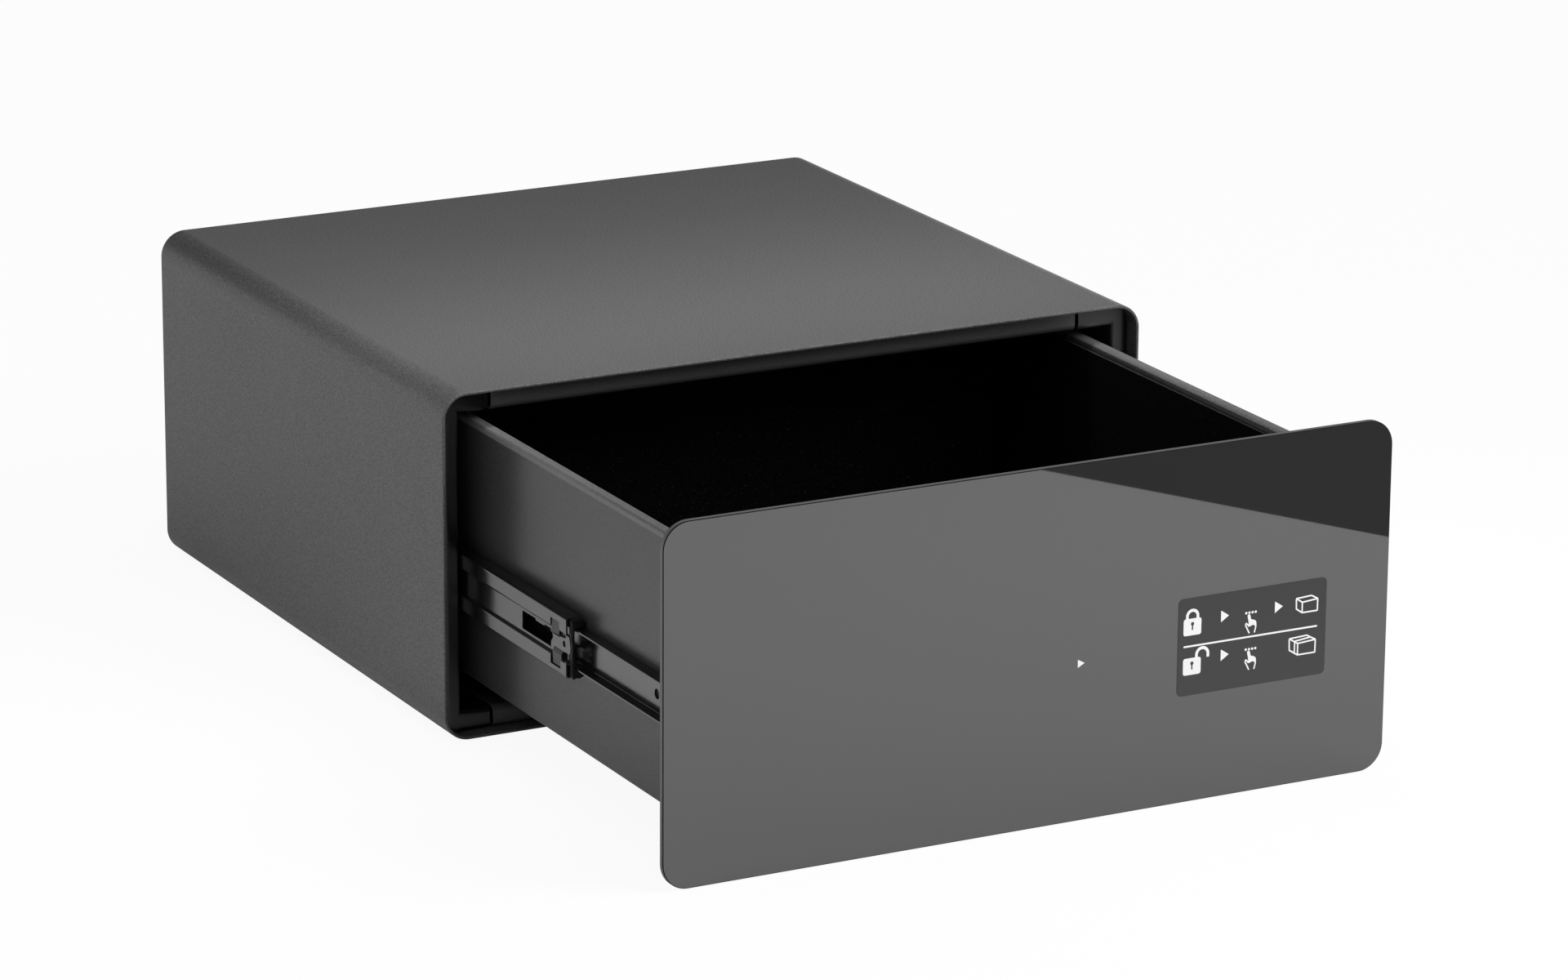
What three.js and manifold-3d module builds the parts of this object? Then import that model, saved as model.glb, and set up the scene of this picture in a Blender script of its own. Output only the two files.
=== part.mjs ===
// Under-desk drawer safe: a rounded steel casing, a steel drawer on two ball-bearing slides, a glass front
// and a motor lock behind it that throws two bolts up and two bolts down into the casing's front frame.
// Millimetres, +Z up. The drawer pulls out towards -Y. The origin is the middle of the casing's underside.
// The drawer is modelled partly open.
import * as THREE from 'three';
import { mergeVertices } from 'three/addons/utils/BufferGeometryUtils.js';
import Module from 'manifold-3d';

const wasm = await Module();
wasm.setup();

// Clearances and cuts
const seat = 0.3;            // between a piece and what carries it
const bond = 0.1;            // on each side of a glued layer
const overrun = 2;           // how far a cut runs past the faces it goes through

// Casing: one wrap of sheet with rounded long edges
const casingWidth = 442;
const casingDepth = 400;
const casingHeight = 200;
const casingWall = 1.8;
const casingCorner = 15;

// Rear panel: a shallow pan set into the casing's back
const rearInset = 6;
const rearSheet = 1.8;
const rearFlange = 5;

// Holes for anchor bolts in the base and the rear panel
const anchorHole = 10;
const anchorInsetX = 70;
const anchorInsetY = 60;
const rearAnchorInset = 92;

// Front frame: two side frames with short arms, and a rail between them at the top and the bottom
const frameRecess = 8.5;
const frameSheet = 1.8;
const postWidth = 11.5;
const railHeight = 12.5;
const armLengths = { left: 29.2, right: 33.8 };
const frameSeam = 2.3;
const frameReturn = 13;
const frameOuterBend = 4.2;
const frameWallBend = 1.6;     // of arms and rails, next to the casing's wall
const frameLipBend = 2.9;      // of arms and rails, at the opening
const postLipBend = 1;
const shelfDepth = 34;
const boltSlotPlay = 1.6;

// Glass front
const glassThickness = 4;
const glassGap = 0.5;        // between the closed glass and the casing's edge
const openTravel = 263.5;    // how far the drawer stands open as modelled

// Drawer: one folded tray with double-skinned sides
const drawerTopRoom = 5.9;   // from the drawer's top to the top rail
const drawerFloorRoom = 14.4;   // from the bottom rail to the drawer
const drawerSheet = 1.2;
const drawerLength = 371;
const sideWidth = 8.5;       // over both skins of a side
const sideTopBend = 3.2;     // the soft bend at the inner edge of a side's top
const foldBend = 1.1;
const skinLift = 0.8;        // under the inner skin's lower edge
const backTopDrop = 3.5;
const backFlange = 9;

// Drawer front and the tape that holds the glass
const tapeThickness = 0.8;
const tapeWidth = 14;
const tapeInset = 6;
const frontFlange = 10;
const frontTopDrop = 3;

// Felt lining
const felt = 1.5;
const feltDrop = 3.5;        // from the top of a side down to the edge of its felt

// Slides: three nested members with a row of balls on each side of each nest
const slideWidth = 12.7;
const slideSheet = 1;
const slideBend = 0.9;
const slideHeight = 89.6;    // of the slides' middle line above the casing's underside
const memberRun = 0.3;       // running clearance between a member, a cage and the balls
const innerHalf = 11.3;
const innerBall = 3.9;
const outerBall = 2.8;
const cageSheet = 0.5;
const cageArm = 0.8;
const bandHeight = 8.5;      // of the raised bands along the middle member
const bandRise = 1.6;        // of those bands over the middle member's web
const middleLip = 2.6;
const outerLip = 2.6;
const lipRoom = 1.3;         // between the middle member's lip and the drawer's side
const ballSetIn = 4.9;       // from the drawer's side to the inner balls' middle
const outerBallSetIn = 6;    // from the slide's back to the outer balls' middle
const outerLength = 350;
const middleLength = 340;
const innerLength = 340;
const outerStart = 24;       // behind the casing's front edge
const middleStart = 6.5;     // with the drawer closed
const innerStart = 10;       // with the drawer closed
const outerCageLength = 140;
const outerCageStart = 115;  // with the drawer closed
const innerCageLength = 150;
const innerCageStart = 105;  // with the drawer closed
const ballsPerRow = 5;
const cageEnd = 8;           // from a cage's end to its first ball
const cageArmPast = 0.6;     // of an arm past its balls

// Window, latch and end stop at the middle member's front
const windowStart = 22;
const windowLength = 35.5;
const windowHeight = 10.4;
const latchLength = 20;
const latchOverhang = 4;
const latchHalf = 6;
const latchSheet = 0.9;
const latchBlockStart = 5;
const latchBlockLength = 10;
const latchBlockRise = 0.5;
const latchHole = 2.4;
const latchHoleRise = 2.4;   // of that hole over the slide's middle line
const stopLength = 3.6;
const stopInset = 0.3;
const slideHole = 5.6;
const slideHoleInset = 49;

// Slide brackets and screws
const bracketSheet = 1.5;
const bracketDepth = 10;     // from the casing's wall to the slide's back
const bracketCrown = 46;
const bracketFlange = 12;
const bracketBend = 1.4;
const bracketSetBack = 16;   // from the slide's front to the bracket's
const bracketLength = 318;
const screwHead = 7;
const screwShank = 3.8;
const screwGrip = 4;
const screwInset = 30;       // from the bracket's ends

// Rubber buffers on the rear panel
const bufferRadius = 7;
const bufferPlay = 0.5;      // to the closed drawer
const bufferHeightShare = 0.5;
const bufferInset = 60;      // from the drawer's side

// Lock compartment behind the drawer front
const housingDepth = 34;
const housingDrop = 5.5;     // from the drawer's top to the cover's
const housingSheet = 1.2;
const housingBend = 1.2;

// Bolts and their guides
const boltRadius = 5;
const boltThrow = 14;
const boltInset = 58;        // from a bolt's middle to the drawer's side
const boltBehindGlass = 23.5;
const boltPlay = 5.4;        // from a drawn-in bolt's tip to the casing's frame
const boltChamfer = 1.2;
const guideHeight = 7.5;
const guideEnd = 12;         // of a guide past a bolt's middle
const guideDepth = 15;

// Bolt carriages, racks and pinion
const carriageThickness = 4;
const barHeight = 10;
const tabThickness = 2;
const tabHalf = 8;
const tabRise = 40;          // from the pinion's middle to the tabs' outer faces
const gearModule = 1.25;
const pinionTeeth = 14;
const rackAddendum = 1;
const rackDedendum = 1.5;
const pinionAddendum = 1.15;
const pinionDedendum = 1.3;
const backlash = 0.45;
const pressureAngle = Math.PI / 9;
const pinionThickness = 5;
const pinionInset = 113;     // from the pinion's middle to the drawer's left side
const rackBack = 6;          // from the rack's root to the arm's far edge
const rackPast = 10;         // of a rack past the pinion's middle, beyond its throw
const shaftRadius = 2;

// Gear motor and its bridge plate
const bridgeSheet = 1.5;
const bridgeHalf = 38;
const bridgeFlange = 12;
const bridgeBehindGlass = 19;
const bridgeHeight = 60;
const bridgeBend = 1.4;
const gearboxWidth = 36;
const gearboxHeight = 26;
const gearboxDepth = 13;
const motorRadius = 6;
const motorLength = 26;
const hubBore = 4.6;

// Touch board, control board and battery box
const touchWidth = 70;
const touchRoom = 2.5;       // from the tape's inner edge to the touch board
const touchRight = 193;      // from the touch board's middle to the glass's right edge
const boardSheet = 1.6;
const touchBehindGlass = 0.5;
const chipSize = 8;
const chipRise = 1.8;
const chipPitch = 22;
const controlWidth = 44;
const controlHeight = 70;
const controlInset = 28;     // from the control board's middle to the drawer's left side
const controlStandOff = 5;
const standOffRadius = 2.5;
const standOffInset = 5;
const cellRadius = 7.2;
const cellLength = 50.2;
const batteryWall = 1.5;
const batteryInset = 65;     // from the batteries' middle to the drawer's right side
const coverLip = 3;
const coverThickness = 1.5;

// Label on the glass
const labelWidth = 93.5;
const labelHeight = 55;
const labelCorner = 3;
const labelThickness = 0.2;
const labelRight = 39.5;     // from the glass's right edge
const labelBottom = 60.6;

// Places that follow from the sizes above
const frontEdge = -casingDepth / 2;
const rearEdge = casingDepth / 2;
const casingInside = casingWidth / 2 - casingWall;
const openingHalf = casingInside - seat - postWidth;
const openingBottom = casingWall + seat + railHeight;
const openingTop = casingHeight - openingBottom;
const frameFront = frontEdge + frameRecess;
const drawerHalfWidth = casingInside - bracketDepth - slideWidth;
const drawerBottom = openingBottom + drawerFloorRoom;
const drawerTop = openingTop - drawerTopRoom;
const housingTop = drawerTop - housingDrop;
const glassBack = frontEdge - glassGap - openTravel;
const tapeFront = glassBack + bond;
const trayFront = tapeFront + tapeThickness + bond;
const trayBack = glassBack + drawerLength;
const skinInside = drawerHalfWidth - sideWidth;
const floorTop = drawerBottom + drawerSheet;
const slideBack = drawerHalfWidth + slideWidth;
const middleHalf = innerHalf + innerBall + 2 * memberRun + slideSheet;
const outerHalf = middleHalf + outerBall + 2 * memberRun + slideSheet;
const middleTravel = openTravel / 2;
const outerCageTravel = openTravel / 4;
const innerCageTravel = middleTravel + openTravel / 4;
const housingBack = glassBack + housingDepth;
const boltLine = glassBack + boltBehindGlass;
const boltSpread = skinInside - boltInset;
const upperTip = openingTop - boltPlay;
const lowerTip = openingBottom + boltPlay;
const pinionOffset = pinionInset - skinInside;
const pinionHeight = (upperTip + lowerTip) / 2;
const upperTabTop = pinionHeight + tabRise;
const lowerTabBottom = pinionHeight - tabRise;
const boltLength = upperTip - upperTabTop - seat;
const pitchRadius = gearModule * pinionTeeth / 2;
const pinionFront = boltLine - pinionThickness / 2;
const pinionBack = pinionFront + pinionThickness;
const carriageFront = boltLine - carriageThickness / 2;
const touchCentre = casingWidth / 2 - touchRight;
const tapeInsideBottom = floorTop + seat + tapeInset + tapeWidth;
const touchHeight = 2 * (pinionHeight - tapeInsideBottom - touchRoom);
const controlCentre = controlInset - skinInside;
const batteryCentre = skinInside - batteryInset;

// Finishes
const finish = (color, roughness, metalness) => ({ color, roughness, metalness });
const greyPowderCoat = finish(0x505050, 0.62, 0.1);
const drawerPowderCoat = finish(0x353536, 0.55, 0.1);
const darkGlass = finish(0x2c2c2d, 0.06, 0);
const blackZinc = finish(0x3c3c3c, 0.35, 0.9);
const brightZinc = finish(0xc4c5c8, 0.32, 0.9);
const blackPlastic = finish(0x161616, 0.5, 0);
const blackFelt = finish(0x0a0a0a, 0.95, 0);
const rubber = finish(0x1d1d1d, 0.85, 0);
const greenBoard = finish(0x1d4b30, 0.5, 0);
const whiteTape = finish(0xc4c4c0, 0.8, 0);
const labelPrint = finish(0x303031, 0.4, 0);
const cellSleeve = finish(0x8b3027, 0.35, 0.2);
const bronze = finish(0xad8955, 0.4, 0.8);

const arcSteps = 3;          // a quarter turn has twice as many sides as this
const roundSteps = 8;        // and a round hole or rod has twice as many as this
const ballSides = 6;
const ballRings = 4;
const safe = new THREE.Group();

function add(name, shape, { color, roughness, metalness }) {
  const geometry = shape.isBufferGeometry ? shape : geometryOf(shape);
  const mesh = new THREE.Mesh(geometry, new THREE.MeshStandardMaterial({ color, roughness, metalness }));
  mesh.name = name;
  safe.add(mesh);
}

// Solids for joining and cutting
function solidOf(geometry) {
  const bare = geometry.clone();
  bare.deleteAttribute('normal');
  bare.deleteAttribute('uv');
  const merged = mergeVertices(bare);
  return new wasm.Manifold(new wasm.Mesh({
    numProp: 3,
    vertProperties: new Float32Array(merged.attributes.position.array),
    triVerts: new Uint32Array(merged.index.array),
  }));
}

function geometryOf(solid) {
  const { vertProperties, triVerts } = solid.getMesh();
  const geometry = new THREE.BufferGeometry();
  geometry.setAttribute('position', new THREE.BufferAttribute(vertProperties, 3));
  geometry.setIndex(new THREE.BufferAttribute(triVerts, 1));
  geometry.computeVertexNormals();
  return geometry;
}

const asSolid = (shape) => (shape.isBufferGeometry ? solidOf(shape) : shape);
const join = (first, ...others) => others.reduce((whole, other) => whole.add(asSolid(other)), asSolid(first));
const cut = (body, ...tools) => tools.reduce((rest, tool) => rest.subtract(asSolid(tool)), asSolid(body));

function block(x0, x1, y0, y1, z0, z1) {
  const box = new THREE.BoxGeometry(x1 - x0, y1 - y0, z1 - z0);
  return box.translate((x0 + x1) / 2, (y0 + y1) / 2, (z0 + z1) / 2);
}

// A flat outline carried along an axis. The outline's two directions are X and Z for a prism along Y,
// Y and Z for one along X, and X and Y for one along Z.
const X = new THREE.Vector3(1, 0, 0);
const Y = new THREE.Vector3(0, 1, 0);
const Z = new THREE.Vector3(0, 0, 1);
const prismFrames = { X: [Y, Z, X], Y: [X, Z, Y.clone().negate()], Z: [X, Y, Z] };

function prism(outline, axis, from, to, curveSegments = arcSteps) {
  const body = new THREE.ExtrudeGeometry(outline, { depth: to - from, bevelEnabled: false, curveSegments });
  body.applyMatrix4(new THREE.Matrix4().makeBasis(...prismFrames[axis]));
  const place = { X: [from, 0, 0], Y: [0, to, 0], Z: [0, 0, from] }[axis];
  return body.translate(...place);
}

function disc(across, up, radius) {
  const outline = new THREE.Shape();
  outline.absarc(across, up, radius, 0, 2 * Math.PI);
  return outline;
}

const rod = (axis, across, up, radius, from, to) => prism(disc(across, up, radius), axis, from, to, roundSteps);

function roundedRectangle(x0, x1, z0, z1, corner) {
  const outline = new THREE.Shape();
  outline.absarc(x1 - corner, z1 - corner, corner, 0, Math.PI / 2);
  outline.absarc(x0 + corner, z1 - corner, corner, Math.PI / 2, Math.PI);
  outline.absarc(x0 + corner, z0 + corner, corner, Math.PI, 1.5 * Math.PI);
  outline.absarc(x1 - corner, z0 + corner, corner, 1.5 * Math.PI, 2 * Math.PI);
  return outline;
}

// The casing's rounded outline, drawn in by a distance all round
function casingOutline(inwards) {
  const half = casingWidth / 2 - inwards;
  return roundedRectangle(-half, half, inwards, casingHeight - inwards, casingCorner - inwards);
}

// Section of a folded sheet. The middle line passes through the points, each [across, up, bend radius],
// and the outline runs half a sheet to either side of it.
function foldedSheet(points, sheet, bendSteps = 3) {
  const at = (i) => new THREE.Vector2(points[i][0], points[i][1]);
  const line = [];
  points.forEach(([, , bend = 0], i) => {
    if (bend === 0) {
      line.push(at(i));
      return;
    }
    const back = at(i - 1).sub(at(i)).normalize();
    const ahead = at(i + 1).sub(at(i)).normalize();
    const half = Math.acos(back.dot(ahead)) / 2;
    const centre = at(i).addScaledVector(back.clone().add(ahead).normalize(), bend / Math.sin(half));
    const start = at(i).addScaledVector(back, bend / Math.tan(half));
    const turn = Math.sign(back.cross(ahead)) * (2 * half - Math.PI);
    for (let step = 0; step <= bendSteps; step += 1) {
      line.push(start.clone().rotateAround(centre, turn * step / bendSteps));
    }
  });
  const left = [];
  const right = [];
  line.forEach((point, i) => {
    const before = line[Math.max(i, 1)].clone().sub(line[Math.max(i, 1) - 1]).normalize();
    const last = Math.min(i, line.length - 2);
    const after = line[last + 1].clone().sub(line[last]).normalize();
    const normalBefore = new THREE.Vector2(-before.y, before.x);
    const mitre = normalBefore.clone().add(new THREE.Vector2(-after.y, after.x)).normalize();
    const reach = sheet / 2 / mitre.dot(normalBefore);
    left.push(point.clone().addScaledVector(mitre, reach));
    right.unshift(point.clone().addScaledVector(mitre, -reach));
  });
  return new THREE.Shape([...left, ...right]);
}

const sides = [['left', -1], ['right', 1]];

// Casing
function buildCasing() {
  const outline = casingOutline(0);
  outline.holes.push(casingOutline(casingWall));
  const anchors = [-1, 1].flatMap((x) => [-1, 1].map((y) => rod(
    'Z', x * (casingWidth / 2 - anchorInsetX), y * (casingDepth / 2 - anchorInsetY), anchorHole / 2,
    -overrun, casingWall + overrun)));
  add('casing', cut(prism(outline, 'Y', frontEdge, rearEdge), ...anchors), greyPowderCoat);
}

function buildRearPanel() {
  const back = rearEdge - rearInset + rearFlange;
  const rim = casingOutline(casingWall + seat);
  rim.holes.push(casingOutline(casingWall + seat + rearSheet));
  const plateFront = rearEdge - rearInset - rearSheet;
  const plate = prism(casingOutline(casingWall + seat), 'Y', plateFront, plateFront + rearSheet);
  const anchors = [-1, 1].map((x) => rod(
    'Y', x * (casingWidth / 2 - rearAnchorInset), casingHeight / 2, anchorHole / 2,
    plateFront - overrun, back + overrun));
  add('rear_panel', cut(join(plate, prism(rim, 'Y', plateFront, back)), ...anchors), greyPowderCoat);
}

// Front frame
function buildSideFrame(word, side) {
  const middle = frameSheet / 2;
  const wallLine = casingInside - seat - middle;
  const openingLine = openingHalf + middle;
  const faceLine = frameFront + middle;
  const backLine = frameFront + frameReturn;
  const post = foldedSheet([
    [side * wallLine, backLine],
    [side * wallLine, faceLine, frameOuterBend],
    [side * openingLine, faceLine, postLipBend],
    [side * openingLine, backLine],
  ], frameSheet);
  const shape = [prism(post, 'Z', 0, casingHeight)];
  const armEnd = casingInside - seat - armLengths[word];
  [[casingHeight, -1], [0, 1]].forEach(([level, up]) => {
    const arm = foldedSheet([
      [backLine, level + up * (casingWall + seat + middle)],
      [faceLine, level + up * (casingWall + seat + middle), frameWallBend],
      [faceLine, level + up * (openingBottom - middle), frameLipBend],
      [backLine, level + up * (openingBottom - middle)],
    ], frameSheet);
    const reach = [side * armEnd, side * (openingHalf + frameSheet)].sort((a, b) => a - b);
    shape.push(prism(arm, 'X', ...reach));
  });
  const inside = prism(casingOutline(casingWall + seat), 'Y', frameFront - overrun, backLine + overrun);
  add(`side_frame_${word}`, join(...shape).intersect(asSolid(inside)), greyPowderCoat);
}

function buildFrameRail(name, level, up) {
  const middle = frameSheet / 2;
  const leftEnd = armLengths.left + frameSeam - casingInside + seat;
  const rightEnd = casingInside - seat - armLengths.right - frameSeam;
  const section = foldedSheet([
    [frameFront + frameReturn, level + up * (casingWall + seat + middle)],
    [frameFront + middle, level + up * (casingWall + seat + middle), frameWallBend],
    [frameFront + middle, level + up * (openingBottom - middle), frameLipBend],
    [frameFront + shelfDepth, level + up * (openingBottom - middle)],
  ], frameSheet);
  const slotHalf = boltRadius + boltSlotPlay;
  const slotMiddle = boltLine + openTravel;
  const slots = [-boltSpread, boltSpread].map((x) => block(
    x - slotHalf, x + slotHalf, slotMiddle - slotHalf, slotMiddle + slotHalf,
    level + Math.min(up * openingBottom, up * (openingBottom - frameSheet)) - overrun,
    level + Math.max(up * openingBottom, up * (openingBottom - frameSheet)) + overrun));
  add(name, cut(prism(section, 'X', leftEnd, rightEnd), ...slots), greyPowderCoat);
}

// Drawer body
function buildDrawer() {
  const middle = drawerSheet / 2;
  const outer = drawerHalfWidth - middle;
  const inner = skinInside + middle;
  const top = drawerTop - middle;
  const floor = drawerBottom + middle;
  const skinEnd = floorTop + skinLift;
  const section = foldedSheet([
    [-inner, skinEnd], [-inner, top, sideTopBend], [-outer, top, foldBend], [-outer, floor, foldBend],
    [outer, floor, foldBend], [outer, top, foldBend], [inner, top, sideTopBend], [inner, skinEnd],
  ], drawerSheet);
  const boltHoles = [-boltSpread, boltSpread].map((x) => rod(
    'Z', x, boltLine, boltRadius + seat, drawerBottom - overrun, floorTop + overrun));
  add('drawer_tray', cut(prism(section, 'Y', trayFront, trayBack), ...boltHoles), drawerPowderCoat);

  const backTop = drawerTop - backTopDrop - middle;
  const backSection = foldedSheet([
    [trayBack + seat + middle, drawerBottom],
    [trayBack + seat + middle, backTop, foldBend],
    [trayBack + seat + middle - backFlange, backTop],
  ], drawerSheet);
  const backHalf = skinInside - felt - 2 * seat;
  const upright = block(-drawerHalfWidth, drawerHalfWidth, trayBack + seat, trayBack + seat + drawerSheet,
    drawerBottom, drawerTop - backTopDrop - sideTopBend);
  add('drawer_back', join(prism(backSection, 'X', -backHalf, backHalf), upright), drawerPowderCoat);
}

function buildDrawerFront() {
  const half = skinInside - seat;
  const bottom = floorTop + seat;
  const top = drawerTop - frontTopDrop;
  const plate = block(-half, half, trayFront, trayFront + drawerSheet, bottom, top);
  const flanges = [-1, 1].map((side) => {
    const edges = [side * half, side * (half - drawerSheet)].sort((a, b) => a - b);
    return block(...edges, trayFront, trayFront + frontFlange, bottom, housingTop - housingSheet - seat);
  });
  const foot = block(-half, half, trayFront, trayFront + frontFlange, bottom, bottom + drawerSheet);
  const footCuts = [-boltSpread, boltSpread].map((x) => block(
    x - guideEnd - seat, x + guideEnd + seat, trayFront + drawerSheet + seat, trayFront + frontFlange + overrun,
    bottom - overrun, bottom + drawerSheet + overrun));
  const window = block(touchCentre - touchWidth / 2 - seat, touchCentre + touchWidth / 2 + seat,
    trayFront - overrun, trayFront + drawerSheet + overrun,
    pinionHeight - touchHeight / 2 - seat, pinionHeight + touchHeight / 2 + seat);
  add('drawer_front', cut(join(plate, ...flanges, foot), window, ...footCuts), drawerPowderCoat);

  const tapeHalf = half - tapeInset;
  const tape = roundedRectangle(-tapeHalf, tapeHalf, bottom + tapeInset, top - tapeInset, tapeInset);
  const tapeInsideHalf = tapeHalf - tapeWidth;
  const tapeInsideTop = top - tapeInset - tapeWidth;
  tape.holes.push(roundedRectangle(
    -tapeInsideHalf, tapeInsideHalf, tapeInsideBottom, tapeInsideTop, tapeInset));
  add('glass_tape', prism(tape, 'Y', tapeFront, tapeFront + tapeThickness), whiteTape);

  add('glass_front', prism(casingOutline(0), 'Y', glassBack - glassThickness, glassBack), darkGlass);

  const labelEnd = casingWidth / 2 - labelRight;
  const label = roundedRectangle(
    labelEnd - labelWidth, labelEnd, labelBottom, labelBottom + labelHeight, labelCorner);
  const labelBack = glassBack - glassThickness - bond;
  add('instruction_label', prism(label, 'Y', labelBack - labelThickness, labelBack), labelPrint);
}

// Felt lining of the drawer
function buildLining() {
  const half = skinInside - seat;
  const front = housingBack + seat;
  const back = trayBack - seat;
  const floorFelt = floorTop + seat;
  const top = drawerTop - feltDrop;
  const wallBottom = floorFelt + felt + seat;
  add('felt_floor', block(-half, half, front, back, floorFelt, floorFelt + felt), blackFelt);
  sides.forEach(([word, side]) => {
    const edges = [side * half, side * (half - felt)].sort((a, b) => a - b);
    add(`felt_${word}`, block(...edges, front, back, wallBottom, top), blackFelt);
  });
  const between = half - felt - seat;
  const backTop = drawerTop - backTopDrop - drawerSheet - seat;
  add('felt_back', block(-between, between, back - felt, back, wallBottom, backTop), blackFelt);
  const cover = batteryCoverEdges();
  const hole = block(cover.left - seat, cover.right + seat, front - overrun, front + felt + overrun,
    cover.bottom - seat, cover.top + seat);
  const sheet = block(-between, between, front, front + felt, wallBottom, housingTop);
  add('felt_front', cut(sheet, hole), blackFelt);
}

// Slides. A section point is [distance from the slide's back, height from its middle line, bend].
const slidePath = (side, points) => points.map(
  ([deep, up, bend]) => [side * (slideBack - deep), slideHeight + up, bend]);
const mirrored = (half) => [...half, ...half.map(([deep, up, bend]) => [deep, -up, bend]).reverse()];
const across = (side, from, to) => [side * (slideBack - from), side * (slideBack - to)].sort((a, b) => a - b);

const webLine = slideSheet / 2;
const strapStart = slideSheet + memberRun;
const bandFace = strapStart + cageSheet + memberRun;
const middleWebFace = bandFace + bandRise;
const innerStrapStart = middleWebFace + slideSheet + memberRun;
const innerEdge = innerStrapStart + cageSheet + memberRun;
const middleLipFace = slideWidth - lipRoom;
const outerLipFace = middleLipFace - slideSheet / 2;

function countersunk(side, webTop, y, room) {
  const head = new THREE.CylinderGeometry(
    screwShank / 2 + room, screwHead / 2 + room, slideSheet, 2 * roundSteps);
  head.rotateZ(side * Math.PI / 2);
  head.translate(side * (slideBack - webTop + slideSheet / 2), y, slideHeight);
  const stem = across(side, webTop - slideSheet / 2, webTop - slideSheet - screwGrip - room);
  return join(head, rod('X', y, slideHeight, screwShank / 2 + room, ...stem));
}

function buildSlide(word, side) {
  const outerFront = frontEdge + outerStart;
  const middleFront = frontEdge + middleStart - middleTravel;
  const innerFront = frontEdge + innerStart - openTravel;
  const screwPlaces = [
    outerFront + bracketSetBack + screwInset,
    outerFront + bracketSetBack + bracketLength - screwInset,
  ];

  const outer = foldedSheet(slidePath(side, mirrored([
    [outerLipFace - webLine, outerHalf - outerLip],
    [outerLipFace - webLine, outerHalf - webLine, slideBend],
    [webLine, outerHalf - webLine, slideBend],
  ])), slideSheet);
  add(`slide_outer_${word}`, cut(prism(outer, 'Y', outerFront, outerFront + outerLength),
    ...screwPlaces.map((y) => countersunk(side, slideSheet, y, seat))), blackZinc);
  screwPlaces.forEach((y, i) => add(
    `slide_screw_${word}_${['front', 'rear'][i]}`, countersunk(side, slideSheet, y, 0), brightZinc));

  const bandLine = bandFace + webLine;
  const middleWeb = middleWebFace + webLine;
  const middle = foldedSheet(slidePath(side, mirrored([
    [middleLipFace - webLine, middleHalf - middleLip],
    [middleLipFace - webLine, middleHalf - webLine, slideBend],
    [bandLine, middleHalf - webLine, slideBend],
    [bandLine, middleHalf - bandHeight],
    [middleWeb, middleHalf - bandHeight - bandRise],
  ])), slideSheet);
  const window = block(...across(side, bandFace, innerEdge),
    middleFront + windowStart, middleFront + windowStart + windowLength,
    slideHeight - windowHeight / 2, slideHeight + windowHeight / 2);
  const member = prism(middle, 'Y', middleFront, middleFront + middleLength);
  add(`slide_middle_${word}`, cut(member, window), blackZinc);

  const latchBack = middleWebFace - seat;
  const latchFace = latchBack - latchSheet;
  const plate = block(...across(side, latchFace, latchBack),
    middleFront - latchOverhang, middleFront + latchLength, slideHeight - latchHalf, slideHeight + latchHalf);
  const lug = block(...across(side, latchFace - latchBlockRise, latchBack),
    middleFront + latchBlockStart, middleFront + latchBlockStart + latchBlockLength,
    slideHeight - latchHalf, slideHeight);
  const latchCut = rod('X', middleFront, slideHeight + latchHoleRise, latchHole / 2,
    ...across(side, latchFace - overrun, latchBack + overrun));
  add(`slide_latch_${word}`, cut(join(plate, lug), latchCut), blackZinc);

  const stopFront = middleFront - seat - stopLength;
  const stopHalf = middleHalf - stopInset;
  const stop = block(...across(side, middleWebFace + stopInset, middleLipFace),
    stopFront, stopFront + stopLength, slideHeight - stopHalf, slideHeight + stopHalf);
  const passage = block(...across(side, innerEdge - memberRun, middleLipFace + overrun),
    stopFront - overrun, stopFront + stopLength + overrun,
    slideHeight - innerHalf - memberRun, slideHeight + innerHalf + memberRun);
  add(`slide_stop_${word}`, cut(stop, passage), blackPlastic);

  const inner = foldedSheet(slidePath(side, mirrored([
    [innerEdge, innerHalf - webLine],
    [slideWidth - seat - webLine, innerHalf - webLine, slideBend],
  ])), slideSheet);
  const hole = rod('X', glassBack + slideHoleInset, slideHeight, slideHole / 2,
    ...across(side, innerEdge, slideWidth + overrun));
  add(`slide_inner_${word}`, cut(prism(inner, 'Y', innerFront, innerFront + innerLength), hole), blackZinc);

  const outerCageFront = frontEdge + outerCageStart - outerCageTravel;
  add(`cage_outer_${word}`, ballCage(side, outerCageFront, outerCageLength, strapStart,
    outerBallSetIn, middleHalf + memberRun + outerBall / 2, outerBall), brightZinc);
  const innerCageFront = frontEdge + innerCageStart - innerCageTravel;
  add(`cage_inner_${word}`, ballCage(side, innerCageFront, innerCageLength, innerStrapStart,
    slideWidth - ballSetIn, innerHalf + memberRun + innerBall / 2, innerBall), brightZinc);
}

// A ball cage is a strap with an arm along each edge, and each arm holds a row of balls
function ballCage(side, front, length, strap, ballIn, ballUp, ball) {
  const pieces = [block(...across(side, strap, strap + cageSheet), front, front + length,
    slideHeight - ballUp, slideHeight + ballUp)];
  [-1, 1].forEach((up) => {
    const level = slideHeight + up * ballUp;
    pieces.push(block(...across(side, strap, ballIn + ball / 2 + cageArmPast), front, front + length,
      level - cageArm / 2, level + cageArm / 2));
    for (let i = 0; i < ballsPerRow; i += 1) {
      const y = front + cageEnd + (length - 2 * cageEnd) * i / (ballsPerRow - 1);
      const sphere = new THREE.SphereGeometry(ball / 2, ballSides, ballRings);
      pieces.push(sphere.translate(side * (slideBack - ballIn), y, level));
    }
  });
  return join(...pieces);
}

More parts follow.
